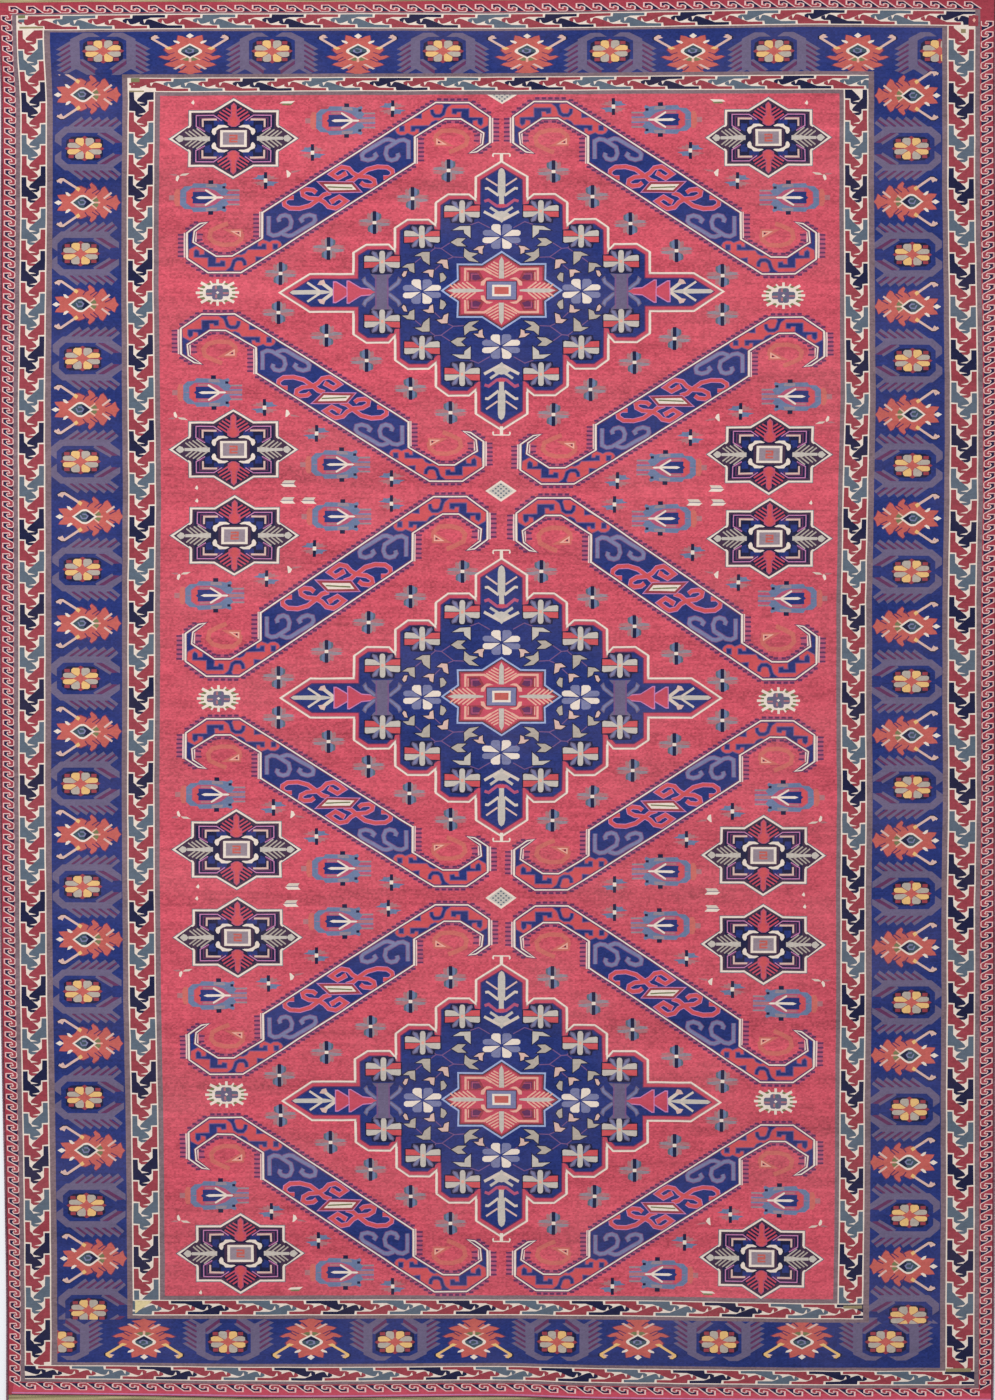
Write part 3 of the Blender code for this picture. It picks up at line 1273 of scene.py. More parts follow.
class Frond(Motif):
    """The frond that fills a pointed lobe of the medallion."""

    def draw(self) -> None:
        """Draws the leaves from the tip down, then the shaft."""
        for side in self.place.sides():
            side.band(Yarn.CREAM_PINK, [(4, -106), (15.5, -113.5)], 1.7)
            side.band(Yarn.CREAM, [(3, -96), (13.4, -103.6), (16.4, -103.2)], 2.5)
            side.band(Yarn.ROSE, [(0, -84.6), (5, -85.6), (13, -91.6), (17, -90.2)], 2.8)
            side.fill(Yarn.PALE_TEAL, [(0, -80.4), (5.4, -79.4), (9, -76.6), (0, -68.3)])
            side.band(Yarn.PALE_TEAL, [(2, -78), (11.4, -84)], 2.6)
            side.band(Yarn.CREAM, [(2, -71.6), (17.4, -79.8)], 2.8)
        shaft = [(0, -124), (2.6, -122), (3.7, -118), (3.7, -98), (2.5, -95), (2.5, -87.4)]
        self.place.fill(Yarn.PALE_TEAL, shaft + [(-x, y) for x, y in reversed(shaft[1:])])
        self.place.moved(0, -86).box(Yarn.BRIGHT_RED, 3.6, 1.4)


class MedallionQuarter(Motif):
    """The stems, leaves and stepped flowers of a quarter of the medallion."""

    LEAVES = (
        (Yarn.PALE_TEAL, (
            (-49, -61), (-41.5, -65), (-31, -65.5), (-31, -53.3), (-37, -58), (-37.5, -61.5),
        )),
        (Yarn.PALE_GREY, (
            (-50.5, -48.8), (-44, -53), (-36, -52.8), (-40.5, -49), (-35.5, -45), (-44, -45.2),
        )),
        (Yarn.PALE_GREY, (
            (-37, -42.9), (-32.1, -38.8), (-23.5, -37.5), (-30.1, -34), (-22.5, -28.8), (-32.1, -30),
            (-37.5, -34.5),
        )),
        (Yarn.CREAM_PINK, (
            (-28, -41.2), (-23, -44.5), (-17, -45.2), (-18.8, -42), (-19, -37), (-22.5, -38.5),
            (-23, -41.3),
        )),
        (Yarn.CREAM_PINK, (
            (-64.5, -28), (-60, -31.3), (-54, -31), (-53, -21.7), (-57.5, -23.5), (-59, -27.3),
        )),
        (Yarn.CREAM_PINK, (
            (-78.5, -18.5), (-73, -21.2), (-67.5, -21.2), (-68.3, -13.3), (-71.5, -14.8), (-72.5, -18),
        )),
        (Yarn.PALE_GREY, ((-61.5, -17.3), (-58.5, -18), (-55.2, -13.5), (-56.8, -10.5), (-61, -8.5))),
        (Yarn.PALE_GREY, (
            (-86.5, -35.3), (-79, -39), (-71.8, -39), (-71.8, -26), (-78, -30.5), (-80, -35),
        )),
        (Yarn.PALE_GREY, (
            (-99, -23.8), (-94, -27), (-87, -27.8), (-86.8, -18), (-91.5, -20), (-93, -23.5),
        )),
        (Yarn.CREAM_PINK, ((-97.2, -19.6), (-94, -20), (-95.5, -15), (-97.5, -13.6), (-99.3, -15.8))),
    )
    STEMS = (
        ((-73, -38), (-66, -43), (-60, -42.5), (-50, -49)), ((-66, -43), (-69, -46)),
        ((-60, -42.5), (-48, -34), (-37, -33.5)), ((-48, -34), (-54, -31.5)),
        ((-31.5, -66.5), (-23, -69.4), (-11.7, -63.3)), ((-88, -27), (-79, -34)), ((-68, -20), (-61, -26)),
        ((-18, -45), (-13, -48)),
    )

    def draw(self) -> None:
        """Draws the stems, the leaves and the three flowers."""
        for stem in self.STEMS:
            self.place.band(Yarn.LILAC_DARK, stem, 0.9)
        for yarn, leaf in self.LEAVES:
            self.place.fill(Yarn.NAVY, shifted(leaf, -0.9))
            self.place.fill(yarn, leaf)
        for x, y in ((-39.3, -80), (-79.3, -54.6), (-119, -29.2)):
            StepFlower(self.place.moved(x, y)).draw()


class StepFlower(Motif):
    """The flower that fills a step of the medallion."""

    def draw(self) -> None:
        """Draws the flower."""
        for corner in self.place.corners():
            corner.fill(Yarn.NAVY, [
                (0, -12.4), (4, -12.4), (11.6, -11.8), (12.6, -7.4), (18.8, -6.8), (18.8, 0), (0, 0),
            ])
            corner.fill(Yarn.MAUVE, [(2.6, -2), (5.2, -9.6), (9.8, -11.2), (10.6, -8.6), (6.4, -3)])
            corner.fill(Yarn.GREY_BLUE, [(3.0, -2.6), (6.2, -8.8), (9.2, -10), (9.2, -8.4), (5.6, -3.6)])
        for turn in self.place.turned():
            turn.fill(Yarn.PALE_TEAL, [
                (-17.6, -5.2), (-16, -6.2), (-8, -5.4), (-2, -1.4), (-2, -0.3), (-17.6, -0.3),
            ])
            turn.fill(Yarn.CORAL, [(-17.6, 0.3), (-2, 0.3), (-3, 1.6), (-9, 5.6), (-17.6, 6)])
        self.place.fill(Yarn.PALE_TEAL, mirrored_shape([(0, -11.4), (1.8, -11), (2.8, -9), (2.8, 0)]))
        self.place.box(Yarn.PEACH_CREAM, 1.3, 1.4)


class SideArrow(Motif):
    """The feathered arrow, the red triangles and the tree of a side lobe, drawn for the left one."""

    def draw(self) -> None:
        """Draws the arrow, the triangles and the tree."""
        axis = self.place.moved(0, 1.2)
        shaft = [(-211, 0), (-208, -2), (-184, -2.3), (-178, -2), (-166.5, 0)]
        axis.fill(Yarn.PALE_TEAL, both_sides(shaft))
        for half in axis.ends():
            half.band(Yarn.CREAM, [(-181, -1.2), (-193.5, -9.6)], 2.2)
            half.band(Yarn.CREAM, [(-168, -0.8), (-178, -8.4)], 3.4)
            half.fill(Yarn.CREAM_PINK, [
                (-175.6, -8.8), (-177, -12.4), (-181, -11.4), (-183.4, -7.6), (-179, -7),
            ])
            half.fill(Yarn.LILAC, [(-168, 0), (-168, -11), (-165, -11), (-153, -3.6), (-153, 0)])
            half.fill(Yarn.BRIGHT_RED, [(-167, 0), (-167, -9.6), (-165, -9.8), (-154, -2.8), (-154, 0)])
            half.fill(Yarn.LILAC, [
                (-154.4, 0), (-154.4, -11.6), (-151.8, -11.6), (-140, -4.2), (-131, -3.4), (-124, 0),
            ])
            half.fill(Yarn.BRIGHT_RED, [
                (-153.4, 0), (-153.4, -10.4), (-151.8, -10.4), (-140, -3.2), (-131, -2.4), (-125.6, 0),
            ])
            for u in (1, -1):
                arm = half.moved(-119.3, 0).flipped(u, 1)
                arm.fill(Yarn.MAUVE, [
                    (-6, -3.5), (-6, 0), (-9, -1), (-18, -8), (-20, -12.4), (-16.4, -15.6), (-14.8, -11),
                    (-9, -6.4),
                ])
                arm.fill(Yarn.GREY_BLUE, [
                    (-6.8, -2.8), (-8, -1.6), (-17.2, -8.4), (-18.6, -12), (-16.4, -13.6), (-15.4, -10),
                ])
                arm.fill(Yarn.MAUVE, [
                    (0, -17.5), (-6.4, -17.5), (-11, -18), (-9, -15.6), (-6.4, -13), (0, -13),
                ])
        tree = axis.moved(-119.3, 0)
        tree.box(Yarn.MAUVE, 5.6, 17)
        for x in (-6, 6):
            tree.band(Yarn.LILAC_DARK, [(x, -17), (x, 17)], 1.4)


class MiddleStar(Motif):
    """The red star in the medallion's middle."""

    def draw(self) -> None:
        """Draws the star, its rays and its framed middle."""
        outline = mirrored_shape([(0, -39.8), (19.5, -27.2), (44.8, -27.2), (44.3, -11.5), (61, 0)])
        self.place.layers(
            outline, (Yarn.PALE_BLUE, 1.7), (Yarn.DARK_BROWN, 0.9), (Yarn.GUARD_RED, 1.4),
            (Yarn.BRIGHT_RED, 1.0),
        )
        for corner in self.place.corners():
            corner.fill(Yarn.GUARD_RED, [(16, -9), (22, -20), (33, -20), (33, -9)])
            corner.fill(Yarn.PURPLE, [(20, -12), (24, -18), (31, -18), (31, -12), (26, -10)])
            corner.band(Yarn.ROSE, [(29.6, -10), (29.6, -16.6), (22, -16.6)], 1.0)
            corner.band(Yarn.PEACH_CREAM, [(36.2, -9.5), (36.2, -21.6), (17, -21.6), (10, -17)], 2.2)
            corner.band(Yarn.PEACH_CREAM, [(33.4, -10), (33.4, -18.4)], 1.0)
            for step in range(5):
                y, x = -26 + 3.2 * step, 8.1 + 2.4 * step
                corner.band(Yarn.PEACH_CREAM, [(3, y), (x, y - 0.55 * (x - 3))], 1.4)
                x, dx = 26 + 5 * step, 9 - 0.8 * step
                corner.band(Yarn.PEACH_CREAM, [(x, -1.8), (x + dx, -1.8 - 0.75 * dx)], 1.5)
            corner.fill(Yarn.PEACH_CREAM, [
                (20.8, -5), (20.4, -8.8), (18, -10.6), (15, -13), (11.6, -13), (8, -11.4), (12.4, -11),
                (15.5, -10), (17.4, -5),
            ])
        for end in self.place.ends():
            end.fill(Yarn.PALE_TEAL, [(0, -34), (2.2, -30), (2.6, -12), (-2.6, -12), (-2.2, -30)])
        for side in self.place.sides():
            side.fill(Yarn.PALE_TEAL, [
                (54, 0), (48, -2), (30, -2), (18, -0.8), (18, 0.8), (30, 2), (48, 2),
            ])
        self.place.box(Yarn.DARK_BROWN, 15.4, 9.4)
        self.place.box(Yarn.GREY_BLUE, 14.6, 8.8)
        self.place.box(Yarn.IVORY, 9.4, 5.7)
        self.place.box(Yarn.ORANGE, 7.2, 3.6)


@dataclass(frozen=True)
class Medallion(Motif):
    """The large stepped medallion, its leaves, flowers, arrows and middle star."""

    upper: float = 1.0
    lower: float = 1.0
    mirrored: str = ""

    STEPS = (
        (0, -131.5), (26.6, -115.4), (26.8, -94), (32, -98.3), (53.5, -98.3), (66.5, -89.3), (66.8, -68),
        (72.5, -72.8), (94, -72.8), (107, -64), (107.3, -42.6), (112, -47.6), (135, -47.6), (148.5, -39),
        (148.5, -18), (191.5, -18), (222.5, 1.5),
    )

    def outline(self) -> Shape:
        """Joins the four quarters of the stepped outline.

        Returns:
            The outline, clockwise from the top.
        """
        quarter = self.STEPS
        right = [(x, y * self.upper) for x, y in quarter]
        right += [(x, (3 - y) * self.lower) for x, y in reversed(quarter[:-1])]
        return right + [(-x, y) for x, y in reversed(right[1:-1])]

    def draw(self) -> None:
        """Draws the medallion."""
        outline = self.outline()
        self.place.layers(
            outline, (Yarn.IVORY, 1.7), (Yarn.DUSTY, 0.9), (Yarn.BRIGHT_RED, 2.8), (Yarn.PURPLE, 1.0),
            (Yarn.ROYAL_BLUE, 1.0),
        )
        middle = self.place.moved(0, 1.5)
        for corner, stretch in zip(middle.corners(), (self.upper, self.lower) * 2):
            for x, top, bottom in (
                (25.6, -115, -94), (65.7, -88.5, -68), (106.2, -63.5, -43), (147.5, -38.5, -19),
            ):
                corner.band(Yarn.IVORY, [(x, top * stretch - 1.5), (x, bottom * stretch - 1.5)], 2.4)
        for top, stretch in ((1, self.upper), (-1, self.lower)):
            end = self.place.flipped(1, top * stretch)
            Finial(end).draw()
            Frond(end).draw()
            for side in end.sides():
                MedallionQuarter(side).draw()
        for side in self.place.sides():
            SideArrow(side).draw()
        MiddleStar(self.place).draw()
        for name, x, y in (
            ("top", 0, -54), ("bottom", -0.5, 56), ("left", -79.5, 0.8), ("right", 79.5, 0.8),
        ):
            centre = self.place.moved(x, y).flipped(-1 if name in self.mirrored else 1, 1)
            PetalFlower(centre, 18.8, 12.2, Yarn.IVORY, Yarn.GREY_BLUE).draw()


@dataclass(frozen=True)
class BorderFlower(Motif):
    """The flower of the main border in its mauve bracket; reach is how far the bracket is stretched."""

    reach: float = 1.0

    def draw(self) -> None:
        """Draws the flower."""
        for half in self.place.flipped(1, self.reach).ends():
            for tooth in range(5):
                half.band(Yarn.MAUVE, [(-16 + 8.7 * tooth, -20.5), (-2 + 8.7 * tooth, -30.6)], 3.4)
            half.band(Yarn.MAUVE, [(25, -17.5), (36.6, -26.6)], 3.2)
            for gap in range(5):
                half.band(Yarn.PURPLE, [(-10.5 + 8.7 * gap, -22), (-0.5 + 8.7 * gap, -28.8)], 2.0)
            band = [
                (-30, -7), (-30, -13.5), (-20, -22), (27.5, -22), (30, -18), (39, -11.4), (39, -5.2),
                (21, -15.8), (-17, -15.8), (-23.4, -10), (-23.4, -2.2),
            ]
            half.fill(Yarn.MAUVE, band)
            half.fill(Yarn.PURPLE, [(15, -15.8), (22, -15.4), (37, -6), (31, -5.6)])
            half.band(Yarn.MAUVE, [(13.5, -15.2), (30.2, -5)], 2.6)
        self.place.fill(Yarn.NAVY, mirrored_shape([(0, -12.4), (13, -11.8), (18.6, -8), (18.6, 0)]))
        for corner in self.place.corners():
            corner.moved(13.4, -7.8).box(Yarn.GUARD_RED, 2.6, 1.6)
        self.place.diamond(Yarn.GUARD_RED, 20, 12.8)
        PetalFlower(self.place, 17.3, 10.6, Yarn.YELLOW, Yarn.PALE_GREY).draw()
        self.place.fill(Yarn.ORANGE, mirrored_shape([(0, -6), (2.6, -2.4), (8, 0)]))


@dataclass(frozen=True)
class BorderPalmette(Motif):
    """The serrated palmette of the main border, its tip towards the field and two canes behind it."""

    cane: Yarn = Yarn.CREAM_PINK

    HALF = (
        (38.5, 0), (36, 2.6), (34.2, 7.6), (31, 5.4), (28.2, 6.4), (24.8, 12.6), (22.4, 15.6), (19.6, 14.2),
        (18, 11.6), (15, 12.2), (13.4, 15.6), (9, 19), (7.2, 17.4), (8.6, 13.8), (5, 12), (3.4, 13.6),
        (-1.4, 15.6), (-5.4, 15), (-8.6, 10.6), (-10.4, 9), (-14, 7.6), (-20, 7.8), (-25.6, 7.4),
        (-24, 4.4), (-21.4, 2.4), (-21.4, 0),
    )

    def draw(self) -> None:
        """Draws the palmette."""
        for half in self.place.ends():
            half.fill(Yarn.PURPLE, [(x * 1.02, y * 1.06) for x, y in self.HALF])
        for half in self.place.ends():
            half.fill(Yarn.ORANGE, self.HALF)
            for slit in (
                [(31.4, 5.6), (24.5, 2.4)], [(27.4, 8.2), (21.5, 5)], [(18.2, 12), (13, 7.4)],
                [(15.6, 13), (9.6, 9)], [(6.6, 15), (2.4, 9.4)], [(-6, 15), (-3.6, 11.4)],
            ):
                half.band(Yarn.PURPLE, slit, 1.1)
            half.band(Yarn.CREAM_PINK, [(21.4, 3.9), (29.4, 9.7)], 2.0)
            half.fill(Yarn.IVORY, [(-17.6, 10.2), (-15, 9.8), (-11.6, 7), (-14, 6), (-16.6, 7.4)])
            half.fill(Yarn.OLIVE, [(10, 0), (10, 4.2), (13, 5.6), (16, 3), (16, 0)])
            half.band(Yarn.PEACH_CREAM, [(9, 1.8), (14.4, 6)], 1.3)
            half.band(Yarn.NAVY, [(-6, 14.4), (-19.4, 24.2), (-23, 24.2), (-27.6, 20.6)], 1.2)
            half.band(self.cane, [(-4.6, 13), (-19.6, 22.6), (-22.4, 22.6), (-26, 20.4)], 2.3)
            half.fill(Yarn.CREAM_PINK, [(-19.8, 21.8), (-21.8, 18.4), (-25, 20.4)])
            half.band(Yarn.YELLOW, [(-3, 12), (-6, 14)], 3.4)
        self.place.band(Yarn.PEACH_CREAM, [(9, 0), (18, 0)], 1.5)
        self.place.moved(-24.6, 0).diamond(Yarn.IVORY, 4.2, 2.4)
        frame = [(-12.4, 0), (-3.4, -6.6), (-1, -7.4), (1.6, -7.4), (4.4, -6), (12.4, 0)]
        inside = [(-9.8, 0), (-2.6, -5.2), (1.2, -5.6), (3.6, -4.4), (9.8, 0)]
        for yarn, shape in ((Yarn.IVORY, frame), (Yarn.DARK_TEAL, inside)):
            self.place.fill(yarn, both_sides(shape))
        self.place.fill(Yarn.NAVY, [(1.8, -5), (3.6, -4.4), (9, 0), (3.6, 4.4), (1.8, 5)])
        self.place.band(
            Yarn.GREY_BLUE, [(-4.4, -1.4), (-2.6, 2), (1.6, 1.6), (3, -0.6), (1, -2.4), (-2.4, -2.4)], 1.3,
        )


@dataclass(frozen=True)
class LeafGuard(Motif):
    """One compartment of the leaf guard, placed by its outer top corner: a bar that ends in a latch hook."""

    yarn: Yarn

    DEPTH = 24.0
    UNIT = 21.8

    def draw(self) -> None:
        """Draws the compartment and the ivory slit in its hook."""
        self.place.fill(self.yarn, [
            (0, 0.6), (4.8, 0.6), (5, 9.8), (15.4, 19.4), (16.6, 21.4), (15, 24.6), (12, 27), (8.6, 27.2),
            (6, 25.2), (6, 21.2), (0, 20.8),
        ])
        self.place.fill(Yarn.IVORY, [(8.8, 24.2), (16.8, 22.4), (15.6, 24.8)])


class HookGuard(Motif):
    """One unit of the running hook guard at the rim, placed by its inner top corner."""

    UNIT = 10.35
    HOOK = ((0.9, 5.9), (6.5, 5.9), (8.2, 3.2), (6.6, 1.7), (10.8, 1.2), (10.8, 4.8), (1.2, 10.2))
    LINES = (
        ((5.6, 0.6), (4.4, 2.6), (6.0, 3.0)),
        ((5.0, 0.6), (12.0, 0.7), (12.0, 4.6), (0.9, 10.6)),
        ((0.7, 0.6), (0.8, 4.6), (2.4, 5.6), (6.4, 5.5), (7.9, 3.6), (6.8, 2.4)),
    )

    def draw(self) -> None:
        """Draws the hook and its lines."""
        self.place.fill(Yarn.NAVY, self.HOOK)
        self.place.band(Yarn.GUARD_RED, [(2.3, 1.5), (2.3, 3.8), (5.2, 4.0)], 1.4)
        for line in self.LINES:
            self.place.band(Yarn.HOOK_LINE, line, 0.9)


@dataclass(frozen=True)
class SeedDiamond(Motif):
    """The ivory diamond between two medallions, filled with teal seeds."""

    half_width: float
    half_height: float

    def draw(self) -> None:
        """Draws the diamond and its seeds."""
        self.place.diamond(Yarn.IVORY, self.half_width, self.half_height)
        self.place.diamond(Yarn.PALE_TEAL, self.half_width - 3.4, self.half_height - 2.4)
        for row in range(-3, 4):
            for column in range(-4, 5):
                if abs(row) / 3.6 + abs(column) / 4.6 < 1 and (row + column) % 2:
                    self.place.moved(2.6 * column, 2.2 * row).box(Yarn.TEAL, 0.9, 0.7)


@dataclass(frozen=True)
class Bands:
    """The nested grounds of the border, each named with its left, top, right and bottom line on the chart."""

    rim: Window = Window(RIM_LEFT, RIM_TOP, RIM_RIGHT, RIM_BOTTOM)
    rim_stripe: Window = Window(14.4, 11.3, 981.0, 1384.2)
    outer_guard: Window = Window(19.2, 12.8, 976.4, 1381.4)
    outer_stripe: Window = Window(46.2, 28.0, 948.0, 1367.0)
    blue: Window = Window(52.0, 30.2, 942.8, 1364.0)
    inner_stripe: Window = Window(122.3, 73.0, 873.3, 1319.4)
    inner_guard: Window = Window(127.6, 76.5, 867.6, 1316.0)
    field_stripe: Window = Window(155.0, 90.8, 842.4, 1300.4)
    field: Window = Window(160.0, 94.5, 838.0, 1296.2)


@dataclass(frozen=True)
class Run:
    """A row of like units along one side of the rug, woven between posts that are counted off the rug."""

    upright: bool
    posts: tuple[tuple[int, float], ...]
    numbers: range

    def post(self, number: int) -> float:
        """Finds where a post stands, evenly between the ones whose places are known.

        Args:
            number: the post to find, which may lie past the ends.

        Returns:
            Its place along the run, on the rug.
        """
        later = [i for i in range(1, len(self.posts) - 1) if self.posts[i][0] <= number]
        i = later[-1] if later else 0
        (first, start), (last, end) = self.posts[i], self.posts[i + 1]
        return start + (end - start) * (number - first) / (last - first)

    def unit_place(
        self, chart: Chart, lay: Lay, edge: float, start: float, end: float, across: Point, length: float
    ) -> Place:
        """Finds the place of a unit.

        Args:
            chart: the chart to draw on.
            lay: how the rug lies.
            edge: the line of the chart that the unit stands on.
            start: where it begins along the run, on the rug.
            end: where it ends.
            across: the unit's direction across the run.
            length: how long the unit is drawn.

        Returns:
            The place.
        """
        if self.upright:
            begin, finish = lay.charted(edge, start), lay.charted(edge, end)
            return Place(chart, edge, begin[1], across, (0, (finish[1] - begin[1]) / length))
        begin, finish = lay.charted(start, edge), lay.charted(end, edge)
        return Place(chart, begin[0], edge, across, ((finish[0] - begin[0]) / length, 0))


@dataclass(frozen=True)
class GuardRun(Run):
    """A leaf guard: two facing rows of compartments whose colours go round, shifted from the slip onwards."""

    window: Window
    other_side: float
    colours: tuple[Yarn, ...]
    way: int = 1
    slip: int | None = None
    upright_line: float = 1.3
    lying_line: float = 1.3 * 0.7
    lead: float = 0.9

    def draw(self, chart: Chart, lay: Lay) -> None:
        """Draws the compartments of both edges.

        Args:
            chart: the chart to draw on.
            lay: how the rug lies, to find the posts on the chart.
        """
        chart.window = window = self.window
        low, high = (window.left, window.right) if self.upright else (window.top, window.bottom)
        line = self.upright_line if self.upright else self.lying_line
        depth = (high - low - 2 * line) / LeafGuard.DEPTH
        for edge, inwards, shift in ((low + line, depth, 0.0), (high - line, -depth, self.other_side)):
            across = (inwards, 0) if self.upright else (0, inwards)
            for number in self.numbers:
                start = self.post(number - self.way) + shift + self.way * self.lead
                end = self.post(number) + shift + self.way * self.lead
                turn = number if self.slip is None or number < self.slip else number + 2
                place = self.unit_place(chart, lay, edge, start, end, across, LeafGuard.UNIT)
                LeafGuard(place, self.colours[turn % len(self.colours)]).draw()
        chart.window = None


@dataclass(frozen=True)
class HookRun(Run):
    """The running hooks along one side of the rug."""

    edge: float
    across: Point
    way: int = 1

    def draw(self, chart: Chart, lay: Lay) -> None:
        """Draws the hooks.

        Args:
            chart: the chart to draw on.
            lay: how the rug lies, to find the posts on the chart.
        """
        for number in self.numbers:
            start, end = self.post(number), self.post(number + self.way)
            HookGuard(self.unit_place(chart, lay, self.edge, start, end, self.across, HookGuard.UNIT)).draw()


@dataclass(frozen=True)
class Corner:
    """What stands in the field round one corner of a medallion, counted on the rug in cells."""

    across: int
    along: int
    bar: tuple[int, int]
    stretch: float
    crosses: tuple[tuple[int, int], ...]
    small_crosses: tuple[tuple[int, int], ...]
    tick: tuple[int, int]
    leaf: tuple[int, int]


RED_TEAL_RED_NAVY = (Yarn.GUARD_RED, Yarn.TEAL, Yarn.GUARD_RED, Yarn.NAVY)
NAVY_RED_TEAL_RED = (Yarn.NAVY, Yarn.GUARD_RED, Yarn.TEAL, Yarn.GUARD_RED)
TEAL_RED_NAVY_RED = (Yarn.TEAL, Yarn.GUARD_RED, Yarn.NAVY, Yarn.GUARD_RED)


